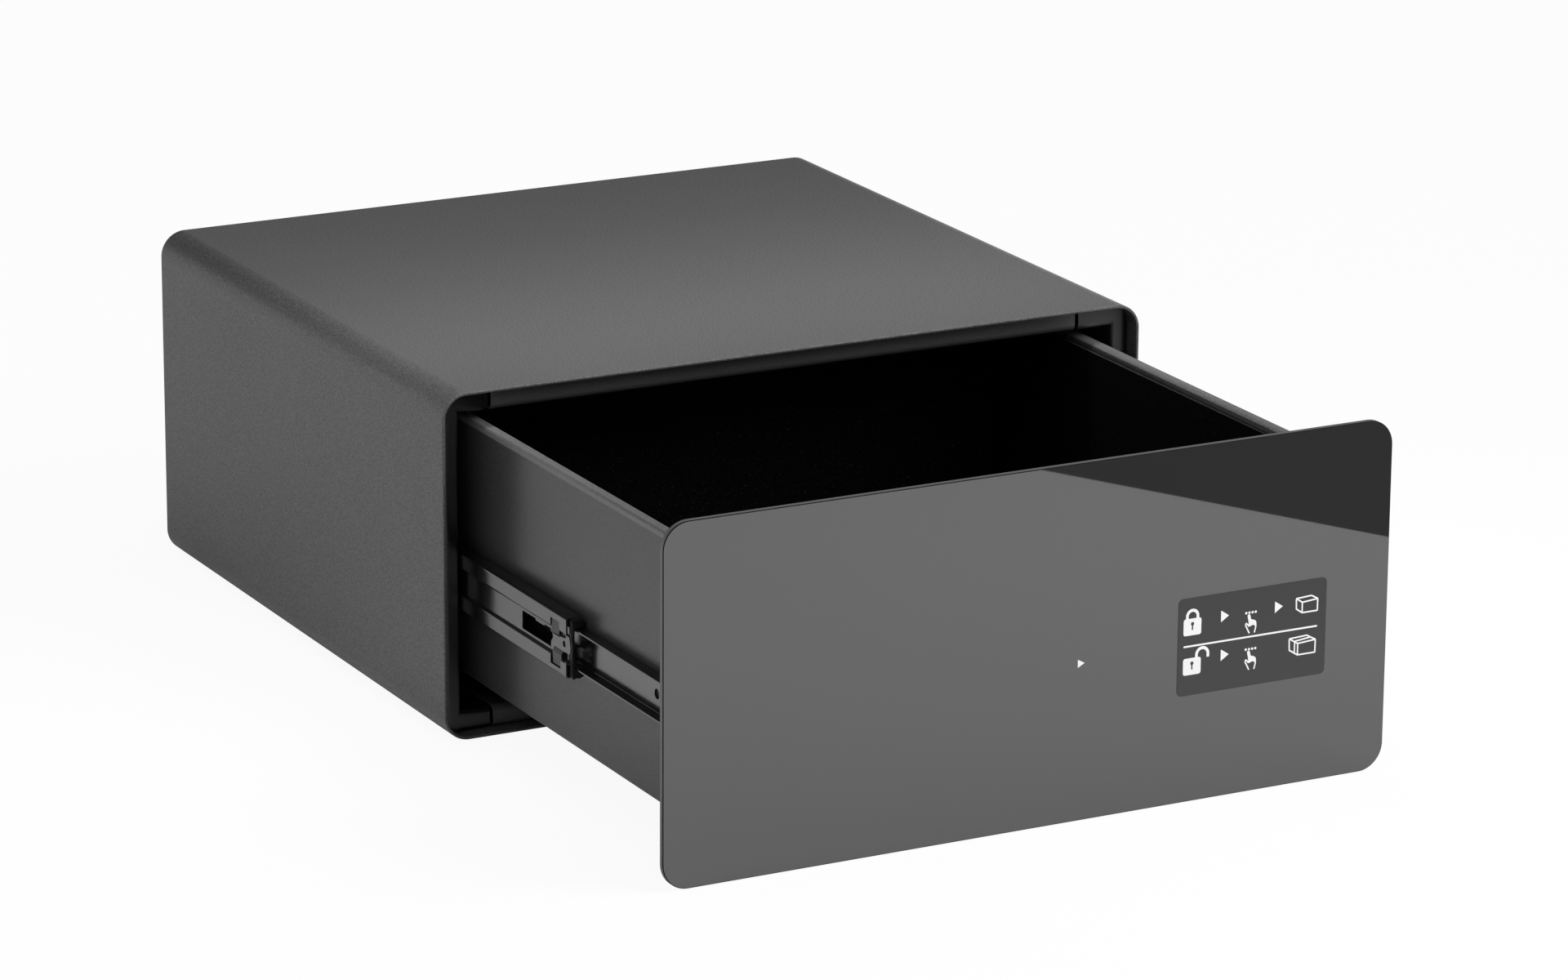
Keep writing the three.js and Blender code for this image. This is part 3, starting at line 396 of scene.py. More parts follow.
def folded(name, points, sheet, axis, start, end, steps=6):
    """A folded sheet: its middle line moved half a sheet to either side along the mitre of its legs, and
    carried along an axis. Its two ends are closed by a strip of quads across the sheet."""
    line = fold_line([(*p, 0)[:3] for p in points], steps)
    legs = np.diff(line, axis=0)
    legs /= np.linalg.norm(legs, axis=1)[:, None]
    before = np.concatenate([legs[:1], legs])
    after = np.concatenate([legs, legs[-1:]])
    normal = np.stack([-before[:, 1], before[:, 0]], -1)
    mitre = normal + np.stack([-after[:, 1], after[:, 0]], -1)
    mitre /= np.linalg.norm(mitre, axis=1)[:, None]
    reach = sheet / 2 / np.sum(mitre * normal, 1)[:, None]
    outline = np.concatenate([line + mitre * reach, (line - mitre * reach)[::-1]])
    count = len(line)
    near = np.arange(count - 1)
    far = 2 * count - 1 - near
    strip = np.stack([near, near + 1, far - 1, far], -1)
    faces = ring_faces(2, 2 * count, False)[:-2]
    faces += strip[:, ::-1].tolist() + (strip + 2 * count).tolist()
    return put_in_mesh(name, carried(outline, axis, start, end), faces)


def rectangle(a, b):
    """The closed outline between two places in each of its directions."""
    return [[a[0], b[0]], [a[1], b[0]], [a[1], b[1]], [a[0], b[1]]]


def bar(name, x, y, z, corner=0.0):
    """A rectangular bar between two places on each axis, its long edges rounded where a corner is given."""
    return prism(name, rounded_outline(*x, *y, corner) if corner else rectangle(x, y), "Z", *z)


def lip(base, up, back):
    """The frame's section at the top or the bottom: a flange under the wrap, the face, and a leg that goes
    back from it to a depth."""
    outer = base + up * FRAME_OUTER_LEVEL
    inner = base + up * FRAME_INNER_LEVEL
    return [(FRAME_BACK, outer), (FRAME_FACE, outer, LIP_BENDS[0]), (FRAME_FACE, inner, LIP_BENDS[1]),
            (back, inner)]


# The frame is coated near-black, partly as painted shade of the dim mouth, and each of its three parts has
# a tone of its own as painted shade and light, since they mirror the room unlike one another.
FRAME_COATS_PAINTED_SHADE = {
    name: sprayed(f"frame_coat_painted_shade_{name}", grey(tone), grain=1100, contrast=0.5, cloud=0.05, rough=rough,
                  depth=0.012, IOR=1.6)
    for name, tone, rough in (("left", 0.003, 0.27), ("right", 0.008, 0.42), ("rails", 0.045, 0.42))}

for word, side in SIDES:
    post = folded(f"post_{word}", [
        (side * POST_WALL, FRAME_BACK), (side * POST_WALL, FRAME_FACE, POST_BENDS[0]),
        (side * POST_OPENING, FRAME_FACE, POST_BENDS[1]), (side * POST_OPENING, FRAME_BACK)],
        FRAME_SHEET, "Z", 0, CASING_HEIGHT)
    for base, up in ((CASING_HEIGHT, -1), (0, 1)):
        arm = folded("arm", lip(base, up, FRAME_BACK), FRAME_SHEET, "X",
                     side * ARM_ENDS[word], side * (POST_OPENING + FRAME_SHEET / 2))
        joined(post, arm, operation="UNION")
    inside = casing_track[0] + (CASING_CORNER - PAN_INSET) * casing_track[1]
    joined(post, prism("mouth", inside, "Y", FRAME_FACE - 5, FRAME_BACK + 4), operation="INTERSECT")
    eased(post, DEBURRED)
    fitted(post, "casing", "grey_powder_coat", FRAME_COATS_PAINTED_SHADE[word], f"side_frame_{word}")

for word, base, up in (("top", CASING_HEIGHT, -1), ("bottom", 0, 1)):
    rail = folded(f"rail_{word}", lip(base, up, SHELF_BACK), FRAME_SHEET, "X", *RAIL_ENDS)
    level = base + up * FRAME_INNER_LEVEL
    for x in (-BOLT_X, BOLT_X):
        joined(rail, bar("slot_punch", (x - SLOT_HALF, x + SLOT_HALF), SLOT_DEPTH, (level - 3, level + 3), 2))
    eased(rail, DEBURRED)
    fitted(rail, "casing", "grey_powder_coat", FRAME_COATS_PAINTED_SHADE["rails"], f"frame_rail_{word}")

# Slide brackets: a folded hat section of 1.5 mm zinc plated sheet, spot welded to each wall of the casing.
# Its crown carries the slide's outer member on two countersunk screws with a cross recess.
SLIDE_BACK = 209.2
SLIDE_HEIGHT = 89.6
BRACKET_FRONT = -160
BRACKET_REAR = 158
BRACKET_SHEET = 1.5
BRACKET_HALF = ((-8.95, 35), (-8.95, 23, 1.4), (-1.05, 23, 1.4))
SCREW_PLACES = {"front": -130, "rear": 128}
SCREW_HOLE = 2.2
SCREW_PROFILE = ((0.1, 1.0), (3.2, 1.0), (3.45, 0.8), (1.9, -0.5), (1.9, -3.6), (1.5, -4.0), (0.1, -4.0))
RECESS = 1.9, 0.35


def plate_group():
    """Drawn grain of plated sheet. A noise stretched along Y, the rolling direction, and a cloudy one change
    the colour, the cloudy one changes the roughness, and the stretched one is the height."""
    group, given, result, place = effect_group(
        "rolled_plate", {"Streaks": 0.15, "Cloud": 0.1, "Base roughness": 0.3})
    drawn = placed(group, "ShaderNodeMapping", {"Vector": place, "Scale": (1400.0, 25.0, 1400.0)})
    streak = noise(group, drawn.outputs[0], 1.0, 3.0)
    cloud = noise(group, place, 60.0, 3.0)
    colour = toned(group, given, varied_around_one(group, streak, given.outputs["Streaks"]),
                   varied_around_one(group, cloud, given.outputs["Cloud"]))
    return completed(group, given, result, colour, cloud, 0.35, streak)


ROLLED_PLATE = plate_group()


def plated(name, colour, streaks, cloud, rough, depth, **sockets):
    """A plated sheet's finish, by the share of streaks and clouds in its colour."""
    numbers = {"Streaks": streaks, "Cloud": cloud, "Base roughness": rough}
    return finish_from_group(name, ROLLED_PLATE, colour, numbers, depth, **sockets)


BRIGHT_ZINC = plated(
    "bright_zinc_plate", (0.55, 0.56, 0.58), streaks=0.12, cloud=0.15, rough=0.3, depth=0.01, Metallic=1.0)


def turned(name, profile, axis, middle, steps=32):
    """A turned solid: each [radius, place along the axis] of the profile swept round the axis. The first and
    the last radius are small, and a face closes each end."""
    profile = np.asarray(profile, float)
    angle = np.arange(steps) * 2 * math.pi / steps
    a = middle[0] + profile[:, :1] * np.cos(angle)
    b = middle[1] + profile[:, :1] * np.sin(angle)
    along = np.broadcast_to(profile[:, 1:], a.shape)
    points = np.stack([a, b, along], -1)[..., TO_XYZ[axis]]
    return put_in_mesh(name, points, ring_faces(len(profile), steps, False))


def inwards(side, distance):
    """The X place at this distance from a slide's back, towards the drawer."""
    return side * (SLIDE_BACK - distance)


def between(side, near, far):
    """The two X places that lie at these distances from a slide's back, lower first."""
    return sorted([inwards(side, near), inwards(side, far)])


def slide_points(side, half):
    """A slide part's whole section from its upper half. Each point is [distance from the slide's back, height
    over its middle line, bend], and the lower half is the upper one upside down."""
    half = [(*p, 0)[:3] for p in half]
    whole = half + [(deep, -up, bend) for deep, up, bend in reversed(half)]
    return [(inwards(side, deep), SLIDE_HEIGHT + up, bend) for deep, up, bend in whole]


for word, side in SIDES:
    hat = folded(f"bracket_{word}", slide_points(side, BRACKET_HALF), BRACKET_SHEET, "Y",
                 BRACKET_FRONT, BRACKET_REAR)
    for y in SCREW_PLACES.values():
        punched(hat, circle(y, SLIDE_HEIGHT, SCREW_HOLE), "X", *between(side, 4.2, -4.8))
    eased(hat, 0.2)
    fitted(hat, "casing", "bright_zinc", BRIGHT_ZINC, f"slide_bracket_{word}")
    for place, y in SCREW_PLACES.items():
        profile = [(radius, inwards(side, deep)) for radius, deep in SCREW_PROFILE]
        screw = turned(f"screw_{word}_{place}", profile, "X", (y, SLIDE_HEIGHT))
        for half_y, half_z in (RECESS, RECESS[::-1]):
            arms = rectangle((y - half_y, y + half_y), (SLIDE_HEIGHT - half_z, SLIDE_HEIGHT + half_z))
            punched(screw, arms, "X", *between(side, 2, -1))
        eased(screw, 0.08)
        fitted(screw, "casing", "bright_zinc", BRIGHT_ZINC, f"slide_screw_{word}_{place}")

# Telescopic slides: an outer member on the casing, a middle one and an inner one on the drawer, roll formed
# from 1 mm sheet with a black zinc finish. The middle one has two raised bands, and near its front a window
# and the punched openings that the latch's tabs stand in.
BLACK_ZINC = plated(
    "black_zinc_plate", grey(0.006), streaks=0.25, cloud=0.2, rough=0.17, depth=0.004, IOR=2.0)
MEMBER_SHEET = 1.0
OUTER_HALF = ((10.4, 18.6), (10.4, 20.7, 0.9), (0.5, 20.7, 0.9))
MIDDLE_HALF = ((10.9, 14.2), (10.9, 16.3, 0.9), (2.6, 16.3, 0.9), (2.6, 8.3, 0.7), (4.2, 6.7, 0.7))
SCREW_SINK = 3.8
INNER_HALF = ((5.8, 10.8), (11.9, 10.8, 0.9))
OUTER_ENDS = -176, 174
MIDDLE_ENDS = -325.25, 14.75
INNER_ENDS = -453.5, -113.5
MIDDLE_PUNCHES = (
    ((-303.25, -267.75), (-5.2, 5.2), 0.8),
    ((-309.0, -300.0), (-5.2, 3.6), 0.5),
    ((-316.8, -306.2), (7.0, 12.6), 0.3),
    ((-322.4, -316.2), (4.0, 8.0), 0.5),
    ((-318.3, -306.2), (-13.3, -6.0), 0.3),
    ((-324.2, -317.9), (-8.6, -3.0), 0.5),
)


for word, side in SIDES:
    outer = folded(f"outer_member_{word}", slide_points(side, OUTER_HALF), MEMBER_SHEET, "Y", *OUTER_ENDS)
    for y in SCREW_PLACES.values():
        punched(outer, circle(y, SLIDE_HEIGHT, SCREW_SINK), "X", *between(side, -0.5, 1.5))
    eased(outer, 0.15)
    fitted(outer, "casing", "black_zinc", BLACK_ZINC, f"slide_outer_{word}")

    member = folded(f"middle_member_{word}", slide_points(side, MIDDLE_HALF), MEMBER_SHEET, "Y", *MIDDLE_ENDS)
    for along, level, corner in MIDDLE_PUNCHES:
        opening = rounded_outline(*along, SLIDE_HEIGHT + level[0], SLIDE_HEIGHT + level[1], corner, 3)
        punched(member, opening, "X", *between(side, 0.5, 6))
    eased(member, 0.15)
    fitted(member, f"middle_member_{word}", "black_zinc", BLACK_ZINC, f"slide_middle_{word}")

    inner = folded(f"inner_member_{word}", slide_points(side, INNER_HALF), MEMBER_SHEET, "Y", *INNER_ENDS)
    punched(inner, circle(-415, SLIDE_HEIGHT, 2.8), "X", *between(side, 5, 14))
    eased(inner, 0.15)
    fitted(inner, "drawer", "black_zinc", BLACK_ZINC, f"slide_inner_{word}")

# Latch: a small pressed lever at the middle member's front, of the same plated steel, with a thin lip round
# its nose. Its two burnished tabs stand in openings of the upper and the lower band.
BURNISHED_STEEL = plated(
    "burnished_steel", grey(0.01), streaks=0.3, cloud=0.3, rough=0.32, depth=0.004, IOR=1.5)
LATCH_SHEET = 0.6
LATCH_OUTLINE = (
    (-306.9, 4.3), (-305.3, 4.3), (-306.9, 3.2), (-307.2, 0.9), (-305.4, -1.1), (-305.2, -4.4),
    (-308.4, -4.9), (-311.0, -4.4), (-319.6, -3.3), (-323.5, -2.9), (-327.0, -2.8), (-328.3, -1.8),
    (-328.7, 0.6), (-328.4, 3.0), (-327.7, 5.4), (-327.2, 6.7), (-325.3, 7.1), (-323.6, 6.0), (-322.0, 4.9),
    (-318.9, 4.6), (-311.2, 4.4))
LATCH_LIP = ((-327.4, 9.0), (-327.6, 7.4), (-328.6, 4.4), (-329.0, 1.2), (-328.8, -1.9), (-327.6, -5.0))
UPPER_TAB = ((3.3, 3.6), (3.3, 4.6, 0.4), (2.5, 5.2, 0.4), (3.1, 12.1))
LOWER_TAB = ((3.3, -3.0), (3.3, -3.6, 0.4), (2.4, -5.6, 0.4), (2.7, -12.4))


def smooth_through(points, steps, closed=True):
    """A smooth line through points. Between two of them it is half of 2 b + (c - a) t + (2 a - 5 b + 4 c - d)
    t^2 + (3 b - a - 3 c + d) t^3, where a to d are the point before, the two, and the one after."""
    points = np.asarray(points, float)
    if not closed:
        points = np.concatenate([2 * points[:1] - points[1:2], points, 2 * points[-1:] - points[-2:-1]])
    a, b, c, d = (np.roll(points, shift, 0)[:, None] for shift in (1, 0, -1, -2))
    t = (np.arange(steps) / steps)[None, :, None]
    line = (2 * b + (c - a) * t + (2 * a - 5 * b + 4 * c - d) * t ** 2 + (3 * b - a - 3 * c + d) * t ** 3) / 2
    if closed:
        return line.reshape(-1, 2)
    return np.concatenate([line[1:-2].reshape(-1, 2), points[-2:-1]])


def wire(name, path, radius, around=8):
    """A round wire along a path in space: each ring is the path's point plus the radius times cosine and sine
    of equal turns across the path's direction."""
    path = np.asarray(path, float)
    ahead = np.gradient(path, axis=0)
    ahead /= np.linalg.norm(ahead, axis=1)[:, None]
    across = np.cross(ahead, [1.0, 0.13, 0.07])
    across /= np.linalg.norm(across, axis=1)[:, None]
    other = np.cross(ahead, across)
    turn = (np.arange(around) * 2 * math.pi / around)[None, :, None]
    points = path[:, None] + radius * (across[:, None] * np.cos(turn) + other[:, None] * np.sin(turn))
    return put_in_mesh(name, points, ring_faces(len(path), around, False))


def latch_strip(side, points, start, end):
    """A pressed strip of the latch through [distance from the slide's back, height over its middle line]."""
    return folded("strip", [(inwards(side, p[0]), SLIDE_HEIGHT + p[1], *p[2:]) for p in points],
                  LATCH_SHEET, "Y", start, end)


for word, side in SIDES:
    latch = prism(f"latch_plate_{word}", smooth_through(LATCH_OUTLINE, 5) + [0, SLIDE_HEIGHT], "X",
                  *between(side, 3.0, 3.0 + LATCH_SHEET))
    punched(latch, circle(-321.3, SLIDE_HEIGHT + 1.5, 1.8), "X", *between(side, 1, 5))
    nose = smooth_through(LATCH_LIP, 6, False) + [0, SLIDE_HEIGHT]
    rim = np.column_stack([np.full(len(nose), inwards(side, 3.8)), nose])
    joined(latch, wire("rim", rim, 0.25), operation="UNION")
    eased(latch, 0.1)
    fitted(latch, f"middle_member_{word}", "black_zinc", BLACK_ZINC, f"slide_latch_{word}")
    tabs = joined(latch_strip(side, UPPER_TAB, -316.4, -306.7), latch_strip(side, LOWER_TAB, -319.2, -308.6),
                  operation="UNION")
    tabs.name = f"latch_tabs_{word}"
    eased(tabs, 0.1)
    fitted(tabs, f"middle_member_{word}", "black_zinc", BURNISHED_STEEL)

# End stop: a black moulded cap that is pressed into the middle member's front. The inner member slides
# through its passage, and its rounded nose stands out beside the latch.
MOULDED_BLACK = sprayed(
    "moulded_black_plastic", grey(0.008), grain=2600, contrast=0.15, cloud=0.05, rough=0.5, depth=0.02,
    IOR=1.49, Specular_IOR_Level=0.2)
STOP_OUTLINE = (
    (4.0, 15.4), (5.2, 16.5), (8.0, 16.7), (10.2, 16.5), (11.3, 15.2), (11.4, 0.0), (11.4, -14.6),
    (10.8, -15.6), (9.6, -15.9), (8.4, -16.6), (7.0, -16.2), (6.0, -16.2), (5.0, -16.9), (4.3, -16.4),
    (4.0, -15.2), (4.0, 0.0))
STOP_ENDS = -329.15, -325.55
STOP_NOSE = ((-326, 9.2), (-328.4, 7.0), (-328.9, 1.2), (-328.3, -4.4), (-326, -7.2))
for word, side in SIDES:
    section = [(inwards(side, deep), SLIDE_HEIGHT + up) for deep, up in STOP_OUTLINE]
    stop = prism(f"end_stop_{word}", section, "Y", *STOP_ENDS)
    passage = rounded_outline(*between(side, 5.4, 14), SLIDE_HEIGHT - 11.6, SLIDE_HEIGHT + 11.6, 1.0)
    punched(stop, passage, "Y", -332, -323)
    nose = smooth_through(STOP_NOSE, 6, False) + [0, SLIDE_HEIGHT]
    joined(stop, prism("nose", nose, "X", *between(side, 3.9, 5.0)), operation="UNION")
    eased(stop, 0.25)
    fitted(stop, f"middle_member_{word}", "black_plastic", MOULDED_BLACK, f"slide_stop_{word}")

# Ball cages: a channel of thin plated strip between two members, cut out along its middle, with hardened
# steel balls in pockets along its two arms. Each cage rolls along at the mean of its two members' speeds.
CAGES = {
    "outer": {"front": -150.875, "length": 140, "strap": 1.3, "in": 6.0, "up": 18.5, "ball": 2.8},
    "inner": {"front": -292.625, "length": 150, "strap": 5.0, "in": 7.8, "up": 13.55, "ball": 3.9},
}
CAGE_SHEET = 0.6
CAGE_MOUTH = 10
BALLS_A_ROW = 5
CAGE_STEEL = plated(
    "cage_strip", (0.2, 0.2, 0.21), streaks=0.15, cloud=0.2, rough=0.35, depth=0.01, Metallic=1.0)


def ball_rows(middles, radius, around=20, rings=10):
    """Balls at the middles given, each a sphere by longitude and latitude with a face at each pole."""
    across = np.linspace(0.05, math.pi - 0.05, rings)[:, None]
    turn = np.arange(around)[None, :] * 2 * math.pi / around
    unit = np.stack([np.sin(across) * np.cos(turn), np.sin(across) * np.sin(turn),
                     np.broadcast_to(np.cos(across), (rings, around))], -1).reshape(-1, 3)
    points = middles[:, None, :] + radius * unit[None]
    one = ring_faces(rings, around, False)
    faces = [[v + shift for v in face] for shift in np.arange(len(middles)) * rings * around for face in one]
    return points, [[int(v) for v in face] for face in faces]


for word, side in SIDES:
    for kind, size in CAGES.items():
        front, back = size["front"], size["front"] + size["length"]
        arm_end = size["in"] + size["ball"] / 2 + CAGE_SHEET
        cage = folded(f"{kind}_cage_{word}", slide_points(side, [
            (arm_end, size["up"]), (size["strap"] + CAGE_SHEET / 2, size["up"], 0.4)]),
            CAGE_SHEET, "Y", front, back)
        strap = between(side, size["strap"] - 1, size["strap"] + 1.5)
        low = SLIDE_HEIGHT - CAGE_MOUTH
        punched(cage, rounded_outline(front + 11, back - 12, low, low + 2 * CAGE_MOUTH, 2), "X", *strap)
        punched(cage, rounded_outline(front - 3, front + 14, low, SLIDE_HEIGHT + 3.2, 2), "X", *strap)
        places = front + 8 + (size["length"] - 16) * np.arange(BALLS_A_ROW) / (BALLS_A_ROW - 1)
        levels = SLIDE_HEIGHT + size["up"] * np.repeat([-1, 1], BALLS_A_ROW)
        across = np.full(2 * BALLS_A_ROW, inwards(side, size["in"]))
        middles = np.stack([across, np.tile(places, 2), levels], -1)
        joined(cage, put_in_mesh("balls", *ball_rows(middles, size["ball"] / 2)), operation="UNION")
        eased(cage, 0.08)
        fitted(cage, f"{kind}_cage_{word}", "bright_zinc", CAGE_STEEL, f"cage_{kind}_{word}")

# Rear buffers: two turned rubber buttons glued to the rear panel, which the closed drawer stops against.
BUFFER_X = 136.5
RUBBER = sprayed("black_rubber", grey(0.012), grain=3000, contrast=0.25, cloud=0.15, rough=0.75, depth=0.03)
for word, side in SIDES:
    low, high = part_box(f"rear_buffer_{word}")
    front, back = low[1] / MM, high[1] / MM
    button = turned(f"buffer_{word}", [
        [0.1, front], [4.6, front], [5.8, front + 0.5], [6.3, front + 1.6], [7, back - 1.2], [7, back],
        [0.1, back]], "Y", (side * BUFFER_X, CASING_HEIGHT / 2))
    eased(button, 0.3)
    fitted(button, "casing", "black_rubber", RUBBER, f"rear_buffer_{word}")

# Drawer tray: folded from one 1.2 mm sheet. Each side goes up outside, turns over the top with a soft inner
# bend and comes down again inside as a second skin. Its coat is smoother than the casing's, and its upper
# outer folds have a paler copy of it as painted light, where the light from above falls.
DRAWER_COAT = sprayed(
    "drawer_powder_coat", grey(0.035), grain=900, contrast=1.5, cloud=0.05, rough=0.3, depth=0.012, IOR=1.5)
# The paler copy is painted light on the tray's upper outer folds.
DRAWER_COAT_PAINTED_LIGHT = sprayed(
    "drawer_coat_painted_light", grey(0.125), grain=900, contrast=0.7, cloud=0.05, rough=0.4, depth=0.012,
    IOR=1.5)
TRAY_SHEET = 1.2
TRAY_FRONT = -463
TRAY_BACK = -93
TRAY_OUTER = 195.9
TRAY_INNER = 188.6
TRAY_TOP = 178.9
TRAY_FLOOR = 29.6
TRAY_BEND = 1.1
SOFT_BEND = 3.2
PAINTED_LIGHT_FROM = 175.8
BOLT_Y = -440.5
BOLT_HOLE = 5.3
tray_side = [
    (TRAY_INNER, TRAY_FLOOR + 1.4), (TRAY_INNER, TRAY_TOP, SOFT_BEND), (TRAY_OUTER, TRAY_TOP, TRAY_BEND),
    (TRAY_OUTER, PAINTED_LIGHT_FROM), (TRAY_OUTER, TRAY_FLOOR, TRAY_BEND)]
tray = folded("tray", [(-x, z, *bend) for x, z, *bend in tray_side] + tray_side[::-1], TRAY_SHEET, "Y",
              TRAY_FRONT, TRAY_BACK, 8)
for x in (-BOLT_X, BOLT_X):
    punched(tray, circle(x, BOLT_Y, BOLT_HOLE), "Z", TRAY_FLOOR - 3, TRAY_FLOOR + 3)
eased(tray, 0.2)
fitted(tray, "drawer", "drawer_powder_coat", DRAWER_COAT, "drawer_tray")
tray.data.materials.append(DRAWER_COAT_PAINTED_LIGHT)
# Outer faces above the break that don't face down take the paler copy: painted light from above.
for face in tray.data.polygons:
    outside = abs(face.center[0]) > (TRAY_INNER + TRAY_SHEET / 2) * MM and face.normal[2] > -0.1
    face.material_index = int(outside and face.center[2] > PAINTED_LIGHT_FROM * MM)

# Drawer back: a plate welded across the tray's rear end, with its top edge folded forward for stiffness.
WALL_PLACE = -92.1
WALL_FOOT = 29
WALL_HALF = 185.9
WALL_TOP = 175.4
WING_HALF = 196.5
WING_TOP = 172.8
wall_section = [(WALL_PLACE, WALL_FOOT), (WALL_PLACE, WALL_TOP, TRAY_BEND), (WALL_PLACE - 9, WALL_TOP)]
rear_wall = folded("tray_rear_wall", wall_section, TRAY_SHEET, "X", -WALL_HALF, WALL_HALF)
wings = bar("wings", (-WING_HALF, WING_HALF), (WALL_PLACE - TRAY_SHEET / 2, WALL_PLACE + TRAY_SHEET / 2),
            (WALL_FOOT, WING_TOP))
joined(rear_wall, wings, operation="UNION")
eased(rear_wall, 0.2)
fitted(rear_wall, "drawer", "drawer_powder_coat", DRAWER_COAT, "drawer_back")

# Drawer front: a plate behind the glass with its edges folded back, welded into the tray's front end. Foam
# tape round its rim holds the glass.
def as_packed(node, edge, body, slot, material):
    """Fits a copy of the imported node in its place, its triangles merged to flat faces and its edges eased."""
    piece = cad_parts[node].copy()
    piece.data = piece.data.copy()
    piece.name = f"{node}_made"
    piece.parent = None
    for key in list(piece.keys()):
        del piece[key]
    bpy.context.scene.collection.objects.link(piece)
    shell = bmesh.new()
    shell.from_mesh(piece.data)
    bmesh.ops.remove_doubles(shell, verts=shell.verts, dist=1e-6)
    bmesh.ops.dissolve_limit(shell, angle_limit=math.radians(1), verts=shell.verts, edges=shell.edges)
    for face in shell.faces:
        face.smooth = True
    shell.to_mesh(piece.data)
    shell.free()
    return fitted(eased(piece, edge), body, slot, material, node)


as_packed("drawer_front", 0.2, "drawer", "drawer_powder_coat", DRAWER_COAT)
FOAM = sprayed(
    "white_foam_tape", (0.55, 0.55, 0.53), grain=2200, contrast=0.2, cloud=0.05, rough=0.8, depth=0.05)
as_packed("glass_tape", 0.1, "drawer", "white_foam_tape", FOAM)

# Glass front: a 4 mm plate with rounded corners, as large as the casing's mouth. It is lacquered black behind
# and so mirrors the room. Its rim is ground matt, and a narrow polished arris lies between rim and face.
GLASS_FRONT = -468
GLASS_BACK = -464
ARRIS = 0.4
REAR_ARRIS = 0.8
GLASS_REACH = 14.6
BLACK_MIRROR = sprayed(
    "black_mirror_glass", grey(0.025), grain=60, contrast=0.04, cloud=0.04, rough=0.015, depth=0, IOR=2.0)
POLISHED_ARRIS = sprayed(
    "polished_glass_arris", grey(0.003), grain=60, contrast=0.2, cloud=0.1, rough=0.08, depth=0, IOR=1.52,
    Specular_IOR_Level=0.1)
GROUND_GLASS = sprayed(
    "ground_glass_rim", (0.105, 0.11, 0.11), grain=2200, contrast=0.3, cloud=0.15, rough=0.5, depth=0.01,
    IOR=1.52)
glass_section = np.array([
    [GLASS_REACH, GLASS_FRONT], [ARRIS + 0.1, GLASS_FRONT], [ARRIS, GLASS_FRONT + 0.03],
    [0.03, GLASS_FRONT + ARRIS - 0.05], [0, GLASS_FRONT + ARRIS], [0, GLASS_BACK - REAR_ARRIS],
    [0.03, GLASS_BACK - REAR_ARRIS + 0.05], [REAR_ARRIS, GLASS_BACK - 0.03], [REAR_ARRIS + 0.1, GLASS_BACK],
    [GLASS_REACH, GLASS_BACK]])
glass = wrapped("glass_plate", casing_track, CASING_CORNER, glass_section, False)
glass.modifiers.new("face_shading", "WEIGHTED_NORMAL").keep_sharp = True
fitted(glass, "drawer", "dark_glass", BLACK_MIRROR, "glass_front")
glass.data.materials.append(GROUND_GLASS)
glass.data.materials.append(POLISHED_ARRIS)
for face in glass.data.polygons:
    across = abs(face.normal[1])
    face.material_index = 0 if across > 0.99 else 1 if across < 0.01 else 2
    face.use_smooth = face.material_index != 2

# Instruction label: a dark grey film with rounded corners stuck on the glass, with white pictograms that show
# how the drawer is locked and unlocked.
LABEL_LEFT = 88.0
LABEL_RIGHT = 181.5
LABEL_BOTTOM = 60.6
LABEL_TOP = 115.6
LABEL_FACE = -468.22
FILM = sprayed(
    "dark_label_film", grey(0.03), grain=1500, contrast=0.1, cloud=0.05, rough=0.35, depth=0.005, IOR=1.5)
WHITE_INK = sprayed(
    "white_label_ink", (0.85, 0.85, 0.85), grain=1500, contrast=0.04, cloud=0.02, rough=0.5, depth=0.005)
film = prism("label_film", rounded_outline(LABEL_LEFT, LABEL_RIGHT, LABEL_BOTTOM, LABEL_TOP, 3), "Y",
             LABEL_FACE, GLASS_FRONT - 0.02)
eased(film, 0.04)
fitted(film, "drawer", "printed_label", FILM, "instruction_label")
INK_BACK = -468.2
INK_FACE = -468.235
INK_STEP = 0.0014
SIGN_LINE = 0.85
ARROW = np.array([(0, 3.3), (5, 0), (0, -3.3)])
CODE_DOTS = (0.0, 2.0, 4.0, 6.0)
FINGER = ((1.2, 9.9), (1.9, 10.9), (2.9, 10.3), (3.5, 8.0), (5.1, 7.4), (6.4, 6.6), (6.9, 5.2), (6.6, 3.5),
          (5.4, 4.3), (4.1, 4.4), (2.9, 3.8), (2.1, 4.6), (1.8, 7.0))
ARM_LINES = (((0.3, 6.0), (0.1, 4.6), (0.9, 3.2), (2.5, 0.0)), ((0.3, 6.0), (1.3, 5.2), (2.2, 3.9)),
             ((6.6, 4.4), (6.4, 2.6), (5.7, 0.0)))


layers = []


def next_face():
    """Where the next layer of ink ends. Each stands a little higher than the last, so that two may cross."""
    layers.append(INK_FACE - INK_STEP * len(layers))
    return layers[-1]


def printed(outline, hole=None):
    """A sign's filled outline as a layer of ink on the label, with a hole where one is given."""
    layer = prism("ink", outline, "Y", next_face(), INK_BACK)
    if hole is not None:
        punched(layer, hole, "Y", INK_FACE - 1, INK_BACK + 1)
    return layer


def drawn(points, width=SIGN_LINE, round_off=0.25):
    """A line of ink through points, which turns at each of them with a small bend."""
    line = [(*points[0],)] + [(*point, round_off) for point in points[1:-1]] + [(*points[-1],)]
    return folded("ink", line, width, "Y", next_face(), INK_BACK, 3)


def keyhole(x, z):
    """A round head over a straight slot, as one outline."""
    head = arc(x, z + 1.7, 1.05, -QUARTER + 0.45, 3 * QUARTER - 0.45, 12)
    return np.concatenate([head, [[x - 0.45, z - 1.8], [x + 0.45, z - 1.8]]])


